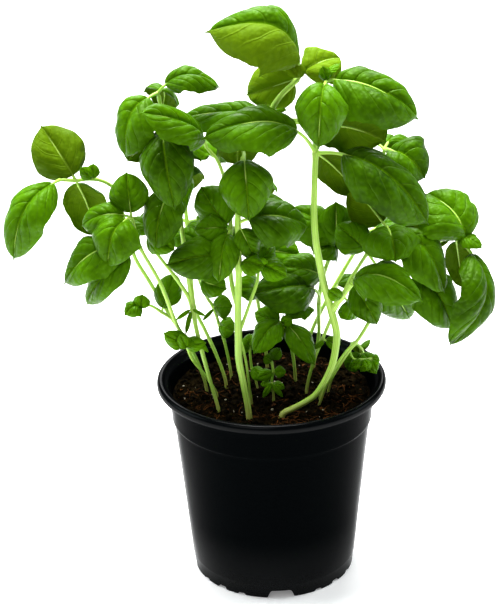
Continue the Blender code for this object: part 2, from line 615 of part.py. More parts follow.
def build_soil():
    brown = material("potting_soil", (0.045, 0.022, 0.012), 0.95)
    shrink = math.cos(math.pi / POT_SIDES)
    inner_floor = FLOOR_UNDERSIDE + WALL + SOIL_GAP
    low = (wall_radius(inner_floor) - WALL) * shrink - SOIL_GAP - 0.3
    ledge = (LEDGE_RADIUS - WALL) * shrink - SOIL_GAP
    top = ledge + (SOIL_LEVEL - 2 - LEDGE_HEIGHT) * (BAND_RADIUS - LEDGE_RADIUS) / 17.0
    verts = [Vector((0, 0, inner_floor)), Vector((0, 0, SOIL_LEVEL))]
    rings = [(low, inner_floor), (ledge, LEDGE_HEIGHT), (top, SOIL_LEVEL - 1.5),
             (50.0, None), (37.0, None), (20.0, None)]
    for radius, z in rings:
        for k in range(SOIL_SIDES):
            turn = 2 * math.pi * k / SOIL_SIDES
            height = z if z is not None else soil_height(radius, turn)
            verts.append(Vector((radius * math.cos(turn), radius * math.sin(turn), height)))
    faces = []
    last = 2 + (len(rings) - 1) * SOIL_SIDES
    for k in range(SOIL_SIDES):
        n = (k + 1) % SOIL_SIDES
        faces.append((0, 2 + n, 2 + k))
        faces.append((1, last + k, last + n))
        for i in range(len(rings) - 1):
            a, b = 2 + i * SOIL_SIDES + k, 2 + i * SOIL_SIDES + n
            faces += [(a, b, b + SOIL_SIDES), (a, b + SOIL_SIDES, a + SOIL_SIDES)]
    soil = solid("soil", verts, faces, brown)
    cutters = new_collection("root_holes")
    for name, stem_list in SHOOTS.items():
        x, y, _ = stem_list[0].path[0]
        radius = (stem_list[0].thick + HOLE_CLEARANCE) / math.cos(math.pi / 6)
        ring = [(x + radius * math.cos(math.pi * k / 3), y + radius * math.sin(math.pi * k / 3))
                for k in range(6)]
        low_z, high_z = SOIL_LEVEL - HOLE_DEPTH, SOIL_LEVEL + 12
        hole = [Vector((a, b, z)) for z in (low_z, high_z) for a, b in ring]
        sides = [tuple(reversed(range(6))), tuple(range(6, 12))]
        sides += [(i, (i + 1) % 6, 6 + (i + 1) % 6, 6 + i) for i in range(6)]
        solid(f"hole_{name}", hole, sides, None, cutters)
    join_with(soil, cutters, "DIFFERENCE")
    return soil


# ---------------------------------------------------------------- shoots
def sound(thing):
    """Whether every edge has two faces and no face is a bare sliver."""
    work = bmesh.new()
    work.from_mesh(thing.data)
    good = all(len(edge.link_faces) == 2 for edge in work.edges) \
        and all(face.calc_area() > 1e-13 for face in work.faces)
    work.free()
    return good


def build_shoot(name, stem_list, leaves, finish):
    """One shoot, its stems and leaves fused; the stems are twisted until it is sound."""
    main_stem = stem_list[0]
    for attempt in range(12):
        twist = 0.09 * attempt
        tube = stem_tube(rooted(main_stem.path), main_stem.thick, main_stem.thin, twist)
        shoot = solid(name, *tube, finish)
        parts = new_collection(f"{name}_parts")
        for number, stem in enumerate(stem_list[1:], 1):
            solid(f"{name}_branch_{number}",
                  *stem_tube(stem.path, stem.thick, stem.thin, twist), None, parts)
        for number, (leaf, root, phase) in enumerate(leaves):
            solid(f"{name}_leaf_{number}", *leaf_shell(leaf, root, phase), None, parts)
        join_with(shoot, parts)
        bodies = keep_largest(shoot)
        if sound(shoot):
            break
        if attempt < 11:
            bpy.data.objects.remove(shoot)
    shoot.name = name
    shoot.data.shade_smooth()
    shoot.data.set_sharp_from_angle(angle=math.radians(40))
    return shoot, bodies, attempt


def main():
    for thing in list(bpy.data.objects):
        bpy.data.objects.remove(thing)
    build_pot()
    build_soil()
    green = material("basil_green", (0.10, 0.30, 0.03), 0.45)
    number = 0
    for name, stem_list in SHOOTS.items():
        leaves = []
        for stem in stem_list:
            for leaf in stem.leaves:
                leaves.append((leaf, stem.path[leaf.node], PHASE_STEP * number))
                number += 1
        shoot, bodies, attempt = build_shoot(name, stem_list, leaves, green)
        print(name, len(leaves), "leaves", len(shoot.data.polygons), "faces", bodies,
              "bodies, tries", attempt + 1)


main()
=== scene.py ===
# %% [markdown]
# # Basil in a nursery pot
# A potted herb is three very different things in one: a thin moulded pot, a
# handful of loose peat, and a crowd of soft leaves on juicy stems. Each gets
# its own way of modelling. The pot is turned, the peat is a rough surface with
# crumbs scattered on it, and one flat leaf is drawn and then bent again and
# again, because all basil leaves are variations of one shape.

# %% Start: the fixed frame and its sizes
import math
import random
from collections import namedtuple
from contextlib import contextmanager

import bmesh
import bpy
import numpy as np
from mathutils import Matrix, Vector, noise


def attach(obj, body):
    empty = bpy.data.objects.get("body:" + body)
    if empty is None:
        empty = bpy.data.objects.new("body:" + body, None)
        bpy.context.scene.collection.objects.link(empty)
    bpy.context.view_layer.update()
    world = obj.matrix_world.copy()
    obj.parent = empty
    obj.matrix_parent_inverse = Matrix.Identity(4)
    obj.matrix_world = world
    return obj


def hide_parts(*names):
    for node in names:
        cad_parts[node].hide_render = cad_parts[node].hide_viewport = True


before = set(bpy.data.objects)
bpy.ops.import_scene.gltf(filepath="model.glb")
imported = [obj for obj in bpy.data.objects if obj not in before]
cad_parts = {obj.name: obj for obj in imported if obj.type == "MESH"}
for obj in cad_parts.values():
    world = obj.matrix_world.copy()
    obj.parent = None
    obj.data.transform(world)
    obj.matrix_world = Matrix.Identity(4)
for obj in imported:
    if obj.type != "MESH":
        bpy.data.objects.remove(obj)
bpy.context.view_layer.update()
random.seed(7)
MM = 0.001
scene = bpy.context.scene
print("frame:", len(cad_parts), "nodes")


# %% [markdown]
# ## Helpers
# Blender's operators act on all that is selected, and the plain frame arrives
# selected. So every helper deselects first and then selects what it works on.

# %% Small helpers: selecting, editing and finishing a piece
def only(thing):
    """Select one object alone and make it the active one."""
    bpy.ops.object.select_all(action="DESELECT")
    thing.select_set(True)
    bpy.context.view_layer.objects.active = thing


def triangles(thing):
    return sum(len(face.vertices) - 2 for face in thing.data.polygons)


def corners(thing):
    """The mesh's vertices as an array, one row each."""
    flat = np.empty(len(thing.data.vertices) * 3)
    thing.data.vertices.foreach_get("co", flat)
    return flat.reshape(-1, 3)


def move_corners(thing, places):
    thing.data.vertices.foreach_set("co", np.asarray(places, dtype=float).ravel())
    thing.data.update()


def settle(thing):
    """Put the object's place, turn and size into its mesh."""
    only(thing)
    bpy.ops.object.transform_apply(location=True, rotation=True, scale=True)


@contextmanager
def editing(thing):
    """Edit mode on one object, with the whole mesh selected."""
    only(thing)
    bpy.ops.object.mode_set(mode="EDIT")
    bpy.ops.mesh.select_all(action="SELECT")
    yield
    bpy.ops.object.mode_set(mode="OBJECT")


def apply_all(thing):
    only(thing)
    for modifier in list(thing.modifiers):
        bpy.ops.object.modifier_apply(modifier=modifier.name)


def join(name, things):
    """Join several meshes into one piece of this name."""
    bpy.ops.object.select_all(action="DESELECT")
    for thing in things:
        thing.select_set(True)
    bpy.context.view_layer.objects.active = things[0]
    bpy.ops.object.join()
    piece = bpy.context.view_layer.objects.active
    piece.name = name
    piece.data.name = name
    return piece


def finish_piece(piece, slot_name, *nodes):
    """Tie a finished piece to the frame, and hide the plain solids it stands for."""
    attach(piece, "root")
    if nodes:
        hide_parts(*nodes)
    print(piece.name, triangles(piece), "triangles")


# %% [markdown]
# ## Camera, light and floor
# The plant is seen from a little above, through a long lens, the way a
# catalogue shows it. A big soft lamp hangs overhead, so the tops of the leaves
# shine and the spaces under them go dark. Cool lamps at both sides put the long
# grey reflections down the black pot. Two lamps wash over the floor beside the
# pot, and the paper glows slightly, so that its shadow stays pale.

# %% Camera
CAMERA_TARGET = Vector((-0.0113, 0.0, 0.16385))
CAMERA_DISTANCE = 1.05
CAMERA_PITCH = math.radians(23.46)
CAMERA_ROLL = math.radians(-1.10)
CAMERA_SENSOR = 36  # mm
CAMERA_LENS = 112.35  # mm

bpy.ops.object.select_all(action="DESELECT")
bpy.ops.object.camera_add()
camera = bpy.context.object
camera.name = "camera"
back = Vector((0, -math.cos(CAMERA_PITCH), math.sin(CAMERA_PITCH)))
camera.matrix_world = (Matrix.Translation(CAMERA_TARGET + back * CAMERA_DISTANCE)
                       @ Matrix.Rotation(math.pi / 2 - CAMERA_PITCH, 4, "X")
                       @ Matrix.Rotation(CAMERA_ROLL, 4, "Z"))
camera.data.sensor_width = CAMERA_SENSOR
camera.data.lens = CAMERA_LENS
scene.camera = camera
print("camera at", [round(c, 3) for c in camera.matrix_world.translation])


# %% Lamps, surroundings and floor
def soft_lamp(name, place, aim, size, power, colour=(1, 1, 1)):
    """A square soft lamp at a place, turned to look at another."""
    bpy.ops.object.select_all(action="DESELECT")
    bpy.ops.object.light_add(type="AREA", location=place)
    lamp = bpy.context.object
    lamp.name = name
    lamp.data.size = size
    lamp.data.energy = power
    lamp.data.color = colour
    lamp.rotation_euler = (Vector(aim) - Vector(place)).to_track_quat("-Z", "Y").to_euler()
    return lamp


COOL = (0.80, 0.96, 1.0)
soft_lamp("lamp_overhead", (-0.10, 0.20, 1.35), (0, 0.05, 0.2), size=0.70, power=42.0)
soft_lamp("lamp_front", (-0.5, -1.1, 1.2), (0, 0, 0.2), size=1.0, power=5.0)
soft_lamp("lamp_left", (-1.3, 0.10, 0.70), (0, 0, 0.14), size=0.8, power=5.0, colour=COOL)
soft_lamp("lamp_right", (1.3, 0.15, 0.70), (0, 0, 0.14), size=0.8, power=5.5, colour=COOL)
soft_lamp("lamp_behind", (0.0, 1.7, 1.3), (0, 1.3, 0), size=1.4, power=45.0)
for side in (-1, 1):
    wash = soft_lamp("lamp_floor", (side * 0.9, 0.2, 1.0), (side * 0.25, 0.15, 0),
                     size=0.6, power=9.0)
    wash.visible_glossy = False

surroundings = bpy.data.worlds.new("pale_room")
surroundings.use_nodes = True
sky = surroundings.node_tree.nodes["Background"].inputs
sky["Color"].default_value = (1, 1, 1, 1)
sky["Strength"].default_value = 0.15
scene.world = surroundings
scene.view_settings.view_transform = "Standard"

bpy.ops.object.select_all(action="DESELECT")
bpy.ops.mesh.primitive_grid_add(x_subdivisions=4, y_subdivisions=4, size=8)
floor = bpy.context.object
floor.name = "floor"
paper = bpy.data.materials.new("white_paper")
paper.use_nodes = True
paper_shader = paper.node_tree.nodes["Principled BSDF"].inputs
paper_shader["Base Color"].default_value = (0.93, 0.93, 0.93, 1)
paper_shader["Roughness"].default_value = 0.9
paper_shader["Emission Color"].default_value = (1, 1, 1, 1)
paper_shader["Emission Strength"].default_value = 0.18  # lifts the pale shadow
floor.data.materials.append(paper)

# %% [markdown]
# ## The plan of the plant
# A plant can't be measured part by part, so it is planned the way a florist
# wires a stem: each stem is a few points, and each leaf is a line with the
# point it grows from, where its tip is, how wide it is and which way it looks.
# Lengths are in millimetres; the cup is the bend of each half in degrees. A leaf
# that is plainly darker or lighter than the rest has a tone, from 0 to 1, partly its
# own colour and partly painted light and shade. One that shows its paler underside
# is turned whole; the top leaf is turned on its near half, where the paler finish
# on its upper side is painted glow of light shining through it.

# %% Table of shoots
UP = (0, 0, 1)
FRONT = (0, -1, 0.4)
FRONT_UP = (0, -0.6, 1)

Leaf = namedtuple("Leaf", "node tip wide face cup arch stalk tone turned",
                  defaults=(FRONT_UP, 35, 0.2, 0.14, None, None))
Stem = namedtuple("Stem", "path thick thin leaves")

SHOOTS = {}
SHOOTS["shoot_tall_right"] = [
    Stem([(5, -32, 109), (12, -31, 113), (24, -29, 120), (33, -25, 135),
          (36, -21, 152), (33, -19, 166), (29, -17, 182), (25, -16, 205),
          (24, -15, 224), (25, -13, 255), (26, -12, 269), (31, -10, 294)],
         2.5, 1.3, [
        Leaf(9, (84, -34, 221), 40, (0.1, -0.6, 1), 50, 0.25, 0.22, tone=0.02),
        Leaf(9, (-35, -24, 268), 37, (0, -0.5, 1), 42, 0.30, 0.26, tone=0.25),
        Leaf(9, (51, 14, 220), 21, (-0.2, 1, 0.3), 25, 0.12, tone=0.15),
        Leaf(10, (64, 4, 255), 36, (0.3, 0.9, 0.4), 20, 0.12, tone=0.18),
        Leaf(11, (26, -30, 263), 31, (-0.1, -0.9, 0.6), 42, 0.46, tone=0.38),
        Leaf(11, (79, -20, 275), 42, (0.4, -0.6, 0.85), 52, 0.18, 0.08, tone=0.22),
        Leaf(11, (29, -14, 303), 7, FRONT),
        Leaf(11, (38, -7, 302), 7, UP),
    ]),
    Stem([(26, -12, 269), (17, -11, 272), (2, -9, 274), (6, -7, 284),
          (17, -4, 294)], 1.7, 1.35, [
        Leaf(2, (-47, 12, 268), 25, (0, -0.5, 1), 32, 0.08, tone=0.28),
        Leaf(2, (10, -13, 279), 6, UP),
        Leaf(2, (-3, -9, 281), 6, UP),
        # The top leaf: the underside finish on its near half is painted glow of light shining
        # through it.
        Leaf(4, (-32, -12, 322), 49, (0, -0.45, 1), 50, 0.38, tone=0.26, turned="near"),
        # Their high tones are painted light, lifting these two out of the shadow of the top leaf
        # above them.
        Leaf(4, (39, 5, 302), 27, (0.1, -0.6, 0.9), 25, 0.2, tone=0.80, turned="whole"),
        Leaf(4, (-11, 9, 281), 27, (0, -1, 0.3), 24, 0.1, 0.1, tone=0.90, turned="whole"),
        Leaf(4, (17, -8, 303), 7, FRONT, tone=1.00, turned="whole"),
        Leaf(4, (9, -7, 304), 7, FRONT, tone=1.00, turned="whole"),
    ]),
    Stem([(33, -19, 166), (38, -21, 174), (44, -23, 184)], 1.8, 1.4, [
        Leaf(2, (81, -41, 180), 31, (0.1, -0.6, 1), 42, 0.32, 0.05, tone=0.40),
        Leaf(1, (31, -27, 182), 8, FRONT),
    ]),
]
SHOOTS["shoot_centre"] = [
    Stem([(-13, -32, 109), (-16, -29, 129), (-18, -27, 141), (-18, -25, 155),
          (-18, -23, 170), (-17, -21, 194), (-17, -18, 218), (-16, -15, 240),
          (-13, -13, 255)], 2.5, 1.2, [
        Leaf(8, (-11, -31, 224), 31, (0, -1, 0.35), 36, 0.32, tone=0.38),
        Leaf(8, (-17, 24, 236), 28, UP, 35, 0.25),
        Leaf(6, (21, -10, 212), 37, (0.2, -0.6, 1), 42, 0.22, tone=0.22),
        Leaf(5, (-3, -26, 195), 14, FRONT_UP, 30, 0.25, tone=0.60),
        Leaf(6, (-8, -15, 196), 15, FRONT, 30, 0.2),
    ]),
    Stem([(-18, -23, 170), (-21, -17, 182), (-22, -11, 197), (-21, -7, 210),
          (-22, -5, 231), (-27, -6, 249), (-33, -9, 258)], 1.3, 0.9, [
        Leaf(3, (-28, -24, 186), 19, (-0.2, -1, 0.4), 32, 0.30, tone=0.30),
        Leaf(3, (-37, 2, 232), 25, (-0.4, -1, 0.3), 25, 0.10, tone=0.40),
        Leaf(3, (-41, -9, 211), 18, (-0.3, -0.9, 0.6), 30, 0.25, tone=0.28),
        Leaf(2, (-56, -24, 197), 25, (0, -0.9, 0.6), 32, 0.20, tone=0.22),
        Leaf(6, (-66, -31, 285), 27, (0, -0.6, 1), 36, 0.16, tone=0.38),
    ]),
    Stem([(-18, -25, 155), (-12, -20, 170), (-7, -15, 183), (-6, -12, 192)],
         1.0, 0.8, [
        Leaf(3, (9, -18, 186), 14, (0, -0.9, 0.5), 32, 0.25, tone=0.62),
        Leaf(3, (-6, -21, 199), 10, FRONT, 30, 0.2, tone=0.70),
        Leaf(3, (2, -4, 200), 11, FRONT, 30, 0.2),
    ]),
]
SHOOTS["shoot_tall_left"] = [
    Stem([(-30, -24, 109), (-34, -20, 124), (-40, -16, 149), (-42, -13, 159),
          (-44, -10, 176), (-46, -8, 193), (-48, -6, 215), (-50, -4, 236),
          (-54, -2, 260), (-56, -1, 273), (-58, 0, 286)], 1.4, 1.0, [
        Leaf(10, (-25, 4, 287), 22, (0, -0.4, 1), 30, 0.32, tone=0.36),
        Leaf(10, (-76, -12, 254), 33, (-0.6, -0.6, 0.6), 36, 0.26, tone=0.34),
        Leaf(8, (-77, 14, 243), 22, (-0.3, 0.9, 0.4), 25, 0.16),
        Leaf(10, (-57, 25, 269), 21, (0.25, -0.3, 1), 30, 0.2),
        Leaf(9, (-50, -29, 230), 31, (-0.05, -1, 0.25), 38, 0.28, 0.2, tone=0.04),
        Leaf(8, (-50, 6, 211), 19, (0.5, -0.9, 0.2), 20, 0.15, tone=0.62),
        Leaf(7, (-61, -24, 205), 25, (-0.3, -0.9, 0.5), 34, 0.28, tone=0.16),
    ]),
    Stem([(-42, -13, 159), (-45, -11, 172), (-53, -9, 185), (-62, -8, 198),
          (-64, -8, 207)], 1.2, 0.8, [
        Leaf(4, (-51, -26, 206), 17, (0.1, -1, 0.4), 30, 0.3),
        Leaf(4, (-80, 0, 214), 16, UP, 30, 0.2),
        Leaf(4, (-55, 12, 212), 16, UP, 30, 0.2),
    ]),
]
SHOOTS["shoot_left"] = [
    Stem([(-31, -6, 109), (-36, -8, 121), (-44, -10, 134), (-47, -12, 144),
          (-53, -14, 160), (-60, -16, 183), (-70, -18, 205), (-74, -17, 222)],
         1.2, 0.95, [
        Leaf(7, (-76, -12, 246), 22, (0, -0.95, 0.5), 25, 0.14, tone=0.28),
        Leaf(7, (-101, -16, 217), 21, (-0.3, -0.7, 0.8), 32, 0.3, tone=0.40),
        Leaf(7, (-87, -34, 200), 30, (-0.3, -0.9, 0.5), 34, 0.40, tone=0.32),
        Leaf(6, (-112, -22, 186), 29, (-0.6, -0.6, 0.6), 34, 0.32, tone=0.30),
        Leaf(6, (-101, -14, 170), 20, (0, -0.7, 0.7), 34, 0.22, tone=0.30),
        Leaf(3, (-59, -22, 156), 11, FRONT, 24, 0.2, 0.1),
        Leaf(3, (-50, -24, 156), 9, FRONT, 24, 0.2, 0.1),
        Leaf(3, (-36, -21, 149), 9, (-0.2, -1, 0.4), 24, 0.2, 0.1),
    ]),
]
SHOOTS["shoot_far_left"] = [
    Stem([(-37, 3, 109), (-41, 2, 125), (-47, 2, 139), (-55, 3, 153),
          (-67, 5, 175), (-75, 7, 190), (-80, 6, 214), (-82, 3, 229),
          (-88, 0, 236), (-95, -2, 239), (-104, -4, 239), (-112, -8, 241)],
         1.25, 1.0, [
        Leaf(10, (-122, 6, 267), 30, (0.2, -1, 0.5), 15, 0.08, 0.1, tone=0.08, turned="whole"),
        Leaf(10, (-95, 6, 202), 25, (0.1, 0.9, 0.2), 26, 0.1, 0.08, tone=0.36),
        Leaf(11, (-138, -24, 201), 28, (-0.4, -0.9, 0.5), 34, 0.34, 0.08, tone=0.38),
        Leaf(9, (-101, -6, 247), 8, FRONT),
        Leaf(9, (-94, -3, 248), 8, FRONT),
    ]),
    Stem([(-55, 3, 153), (-61, 2, 158), (-67, 2, 162), (-72, 2, 161)],
         0.9, 0.8, [
        Leaf(3, (-81, -6, 160), 13, FRONT_UP, 35, 0.3),
        Leaf(1, (-53, 8, 179), 16, (0.2, -0.9, 0.4), 25, 0.15),
        Leaf(3, (-71, -3, 171), 10, FRONT),
    ]),
]
SHOOTS["shoot_mid_left"] = [
    Stem([(-23, 21, 109), (-26, 18, 130), (-29, 14, 144), (-32, 10, 157),
          (-35, 8, 163), (-37, 6, 169), (-39, 4, 176), (-39, 2, 187),
          (-36, 0, 196)], 1.1, 0.9, [
        Leaf(6, (-24, -5, 174), 16, FRONT, 28, 0.2),
        Leaf(2, (-20, 6, 144), 13, FRONT, 28, 0.2),
        Leaf(3, (-21, 4, 160), 14, FRONT, 28, 0.2),
        Leaf(8, (-54, 14, 200), 18, (-0.3, -0.4, 1), 35, 0.25),
        Leaf(8, (-22, 8, 206), 18, UP, 30, 0.25),
        Leaf(8, (-40, 22, 204), 18, UP, 30, 0.25),
    ]),
]
SHOOTS["shoot_back_left"] = [
    Stem([(-26, 11, 109), (-31, 12, 126), (-37, 15, 140), (-43, 19, 153),
          (-45, 25, 175), (-46, 31, 200), (-48, 36, 222), (-50, 38, 238)],
         1.3, 1.0, [
        Leaf(7, (-64, 58, 220), 26, UP, 35, 0.3),
        Leaf(7, (-22, 46, 230), 26, UP, 35, 0.3),
        Leaf(7, (-38, 66, 224), 24, UP, 35, 0.3),
        Leaf(6, (-46, 70, 204), 24, (0, 0.5, 1), 38, 0.3),
        Leaf(5, (-78, 40, 188), 26, (-0.4, 0, 1), 38, 0.3),
        Leaf(5, (-20, 38, 182), 22, UP, 38, 0.26),
    ]),
]
SHOOTS["shoot_low_centre"] = [
    Stem([(14, 16, 109), (12, 8, 130), (8, 3, 145), (7, 0, 151)], 1.3, 1.0, [
        Leaf(3, (-10, -17, 140), 18, (-0.3, -0.8, 0.6), 32, 0.3),
        Leaf(3, (24, -16, 132), 15, (0.2, -0.9, 0.5), 32, 0.3),
        Leaf(3, (25, 11, 154), 15, UP, 30, 0.2),
        Leaf(3, (-9, 3, 156), 14, FRONT, 30, 0.2),
        Leaf(3, (12, -9, 157), 8, FRONT, 30, 0.2),
    ]),
]
SHOOTS["shoot_right"] = [
    Stem([(20, 0, 109), (24, -4, 129), (29, -5, 143), (35, -6, 159),
          (40, -5, 169), (45, -2, 178), (54, 0, 192), (64, -3, 208)],
         1.2, 0.95, [
        Leaf(7, (67, -31, 199), 34, (0, -0.55, 1), 30, 0.22, tone=0.38),
        Leaf(7, (95, -19, 175), 30, (0.3, -0.6, 0.9), 36, 0.26, tone=0.34),
        Leaf(7, (45, 6, 229), 26, (0, 1, 0.2), 20, 0.1, tone=0.20),
        Leaf(6, (80, 21, 142), 26, (0, -0.9, 0.4), 25, 0.12, tone=0.18),
        Leaf(5, (59, -10, 153), 19, (0, -0.9, 0.3), 30, 0.25, tone=0.22),
        Leaf(4, (50, 11, 151), 20, (0, -0.9, 0.3), 30, 0.22),
        Leaf(6, (37, 3, 208), 21, (0, -0.9, 0.5), 28, 0.22),
    ]),
]
SHOOTS["shoot_far_right"] = [
    Stem([(27, -12, 109), (35, -13, 125), (43, -12, 138), (49, -10, 145),
          (55, -7, 154), (63, -3, 166), (76, 0, 183), (88, 0, 194),
          (95, -2, 200), (102, -4, 201), (107, -6, 198)], 1.25, 1.0, [
        Leaf(10, (86, 9, 223), 46, (0.5, -0.7, 0.6), 34, 0.28, 0.1, tone=0.30),
        Leaf(9, (74, 12, 208), 27, (0, 0.95, 0.2), 18, 0.14, tone=0.25),
        Leaf(9, (108, 6, 167), 16, (0, 0.9, 0.2), 28, 0.15, tone=0.20),
        Leaf(10, (97, -24, 145), 32, (0.8, -0.7, 0.25), 36, 0.32, 0.08, tone=0.14),
        Leaf(9, (115, -14, 199), 14, (0.5, -0.5, 0.8), 25, 0.2),
        Leaf(6, (100, -12, 150), 29, (0.2, -0.8, 0.7), 30, 0.3, tone=0.26),
    ]),
    Stem([(43, -12, 138), (46, -5, 140), (49, 1, 136), (52, 4, 130)], 0.9, 0.8, [
        Leaf(3, (43, 3, 120), 11, FRONT, -30, 0.3),
        Leaf(3, (59, -6, 121), 12, FRONT, 40, 0.3),
        Leaf(3, (51, 18, 122), 12, UP, -30, 0.3),
    ]),
]
SHOOTS["shoot_back_right"] = [
    Stem([(25, 30, 109), (28, 27, 130), (28, 24, 152), (30, 22, 168),
          (36, 20, 186), (45, 19, 198), (60, 18, 212), (62, 19, 228),
          (64, 20, 245)], 1.35, 1.0, [
        Leaf(2, (-10, -4, 170), 31, (0, -0.7, 0.8), 42, 0.3, 0.34, tone=0.00),
        Leaf(4, (12, 18, 213), 27, (0, -0.6, 0.8), 38, 0.30, tone=0.22),
        Leaf(4, (37, 10, 219), 24, (0.1, -1, 0.3), 28, 0.2, tone=0.18),
        Leaf(4, (24, 2, 191), 20, (0, -0.7, 0.7), 30, 0.25),
        Leaf(3, (5, 12, 180), 24, (0, -0.8, 0.7), 34, 0.25),
        Leaf(8, (86, 8, 232), 38, (0.4, -0.9, 0.5), 30, 0.30, tone=0.14),
        Leaf(8, (46, 36, 236), 24, UP, 35, 0.3),
        Leaf(8, (76, 48, 226), 24, UP, 35, 0.3),
        Leaf(6, (82, 44, 196), 26, (0.3, 0.4, 1), 38, 0.3),
    ]),
]
SHOOTS["shoot_rear"] = [
    Stem([(-2, 36, 109), (-4, 38, 130), (-8, 41, 155), (-9, 44, 178),
          (-8, 46, 194), (-8, 48, 208)], 1.4, 1.0, [
        Leaf(5, (-38, 56, 196), 27, UP, 38, 0.3),
        Leaf(5, (21, 60, 184), 27, (0.3, 0, 1), 34, 0.14),
        Leaf(5, (-4, 80, 196), 26, (0, 0.4, 1), 38, 0.3),
        Leaf(5, (-11, 24, 216), 22, UP, 35, 0.3),
        Leaf(3, (-40, 64, 170), 26, (-0.3, 0.4, 1), 40, 0.3),
        Leaf(3, (22, 66, 172), 26, (0.3, 0.4, 1), 40, 0.3),
        Leaf(3, (18, 24, 182), 24, (0, -0.9, 0.4), 30, 0.2),
        Leaf(2, (-20, 16, 166), 16, (0, -0.9, 0.4), 30, 0.2),
    ]),
]
SHOOTS["shoot_rear_right"] = [
    Stem([(20, 44, 109), (26, 46, 128), (36, 48, 148), (46, 49, 166),
          (56, 48, 184)], 1.6, 1.0, [
        Leaf(4, (88, 58, 168), 26, (0.3, 0.3, 1), 38, 0.3),
        Leaf(4, (44, 76, 178), 25, (0, 0.5, 1), 38, 0.3),
        Leaf(2, (62, 66, 138), 22, (0.3, 0.3, 1), 38, 0.3),
    ]),
]
SHOOTS["seedling_front"] = [
    Stem([(1, -6, 109), (0, -8, 117), (1, -9, 125), (0, -9, 132)], 0.9, 0.8, [
        Leaf(1, (7, -13, 116), 5.5, FRONT_UP, 25, 0.2),
        Leaf(1, (-6, -12, 118), 5.5, FRONT_UP, 25, 0.2),
        Leaf(2, (-8, -13, 123), 7, FRONT, 25, 0.2),
        Leaf(2, (8, -10, 125), 7, FRONT, 25, 0.2),
        Leaf(3, (-4, -14, 137), 7, FRONT, 25, 0.2),
        Leaf(3, (5, -6, 138), 7, FRONT, 25, 0.2),
    ]),
]
SHOOTS["seedling_left"] = [
    Stem([(-8, 4, 109), (-11, 2, 122), (-12, 0, 136)], 0.9, 0.8, [
        Leaf(1, (-4, -7, 119), 8, FRONT, 20, 0.2),
        Leaf(2, (-19, -4, 139), 9, FRONT, 20, 0.2),
        Leaf(2, (-3, -3, 141), 9, FRONT, 20, 0.2),
        Leaf(2, (-11, 9, 140), 9, UP, 20, 0.2),
    ]),
]

print("leaves planned:", sum(len(stem.leaves) for stems in SHOOTS.values() for stem in stems))

# %% [markdown]
# ## Finishes
# Shaders are built from small wired boxes. Short helpers keep the wiring
# readable: each adds a box with its values and wires in the sockets among them,
# in the tree that those sockets belong to. What several finishes share, here
# the vein pattern and the fine unevenness, is a node group, built once.

# %% Helpers for wiring nodes
def wire(value, socket):
    """Give a socket its value; another socket as the value is wired in."""
    if isinstance(value, bpy.types.NodeSocket):
        socket.id_data.links.new(value, socket)
    else:
        socket.default_value = value


def tree_of(*values):
    """The node tree of the first socket among the values."""
    return next(value.id_data for value in values if isinstance(value, bpy.types.NodeSocket))


def box_in(tree, kind, inputs=None, **settings):
    """Add a node with its settings and with the values of its sockets."""
    node = tree.nodes.new(kind)
    for name, value in settings.items():
        setattr(node, name, value)
    for name, value in (inputs or {}).items():
        wire(value, node.inputs[name])
    return node


def sum_of(operation, *values):
    """A Math node of up to three values or sockets."""
    return box_in(tree_of(*values), "ShaderNodeMath", operation=operation,
                  inputs=dict(enumerate(values))).outputs[0]


def ramp(value, low, high, to_low=0.0, to_high=1.0):
    """Ease a value from one range to another."""
    return box_in(tree_of(value), "ShaderNodeMapRange", interpolation_type="SMOOTHSTEP",
                  inputs={"Value": value, "From Min": low, "From Max": high,
                          "To Min": to_low, "To Max": to_high}).outputs["Result"]


def height_of(place):
    return box_in(tree_of(place), "ShaderNodeSeparateXYZ",
                  inputs={"Vector": place}).outputs["Z"]


def blend_colours(share, first, second):
    """Mix two colours by a share."""
    node = box_in(tree_of(share, first, second), "ShaderNodeMix", data_type="RGBA")
    for name, value in (("Factor_Float", share), ("A_Color", first), ("B_Color", second)):
        socket = next(s for s in node.inputs if s.identifier == name)
        wire((*value, 1.0) if isinstance(value, tuple) else value, socket)
    return next(s for s in node.outputs if s.identifier == "Result_Color")


def new_group(name, places, values, outputs):
    """A node group with named sockets; returns it, what it is given and what it gives."""
    tree = bpy.data.node_groups.new(name, "ShaderNodeTree")
    for label in places:
        tree.interface.new_socket(label, in_out="INPUT", socket_type="NodeSocketVector")
    for label, value in values.items():
        socket = tree.interface.new_socket(label, in_out="INPUT", socket_type="NodeSocketFloat")
        socket.default_value = value
    for label in outputs:
        tree.interface.new_socket(label, in_out="OUTPUT", socket_type="NodeSocketFloat")
    return (tree, box_in(tree, "NodeGroupInput").outputs,
            box_in(tree, "NodeGroupOutput").inputs)


def use_group(group, **inputs):
    """The outputs of a group with these inputs, where _ stands for a space."""
    return box_in(tree_of(*inputs.values()), "ShaderNodeGroup", node_tree=group, inputs={
        name.replace("_", " "): value for name, value in inputs.items()}).outputs


def new_material(name, **values):
    """A material, its Principled shader, and the place on the object as a socket."""
    made = bpy.data.materials.new(name)
    made.use_nodes = True
    shader = made.node_tree.nodes["Principled BSDF"]
    for label, value in values.items():
        wire(value, shader.inputs[label.replace("_", " ")])
    return made, shader, box_in(made.node_tree, "ShaderNodeTexCoord").outputs["Object"]


def bump(shader, strength, distance, height):
    """Let a height in the shader's tree roughen its surface."""
    node = box_in(shader.id_data, "ShaderNodeBump",
                  inputs={"Strength": strength, "Distance": distance, "Height": height})
    wire(node.outputs["Normal"], shader.inputs["Normal"])


print("wiring helpers ready")

# %% [markdown]
# ### The vein pattern
# A basil blade has one strong midrib and six or seven pairs of side veins that
# leave it at a slant and bend towards the tip. The leaf's own map runs from 0
# to 1 across and along the blade, so a vein is simply a line on that map:
# distance along, less something that grows with the distance from the midrib.

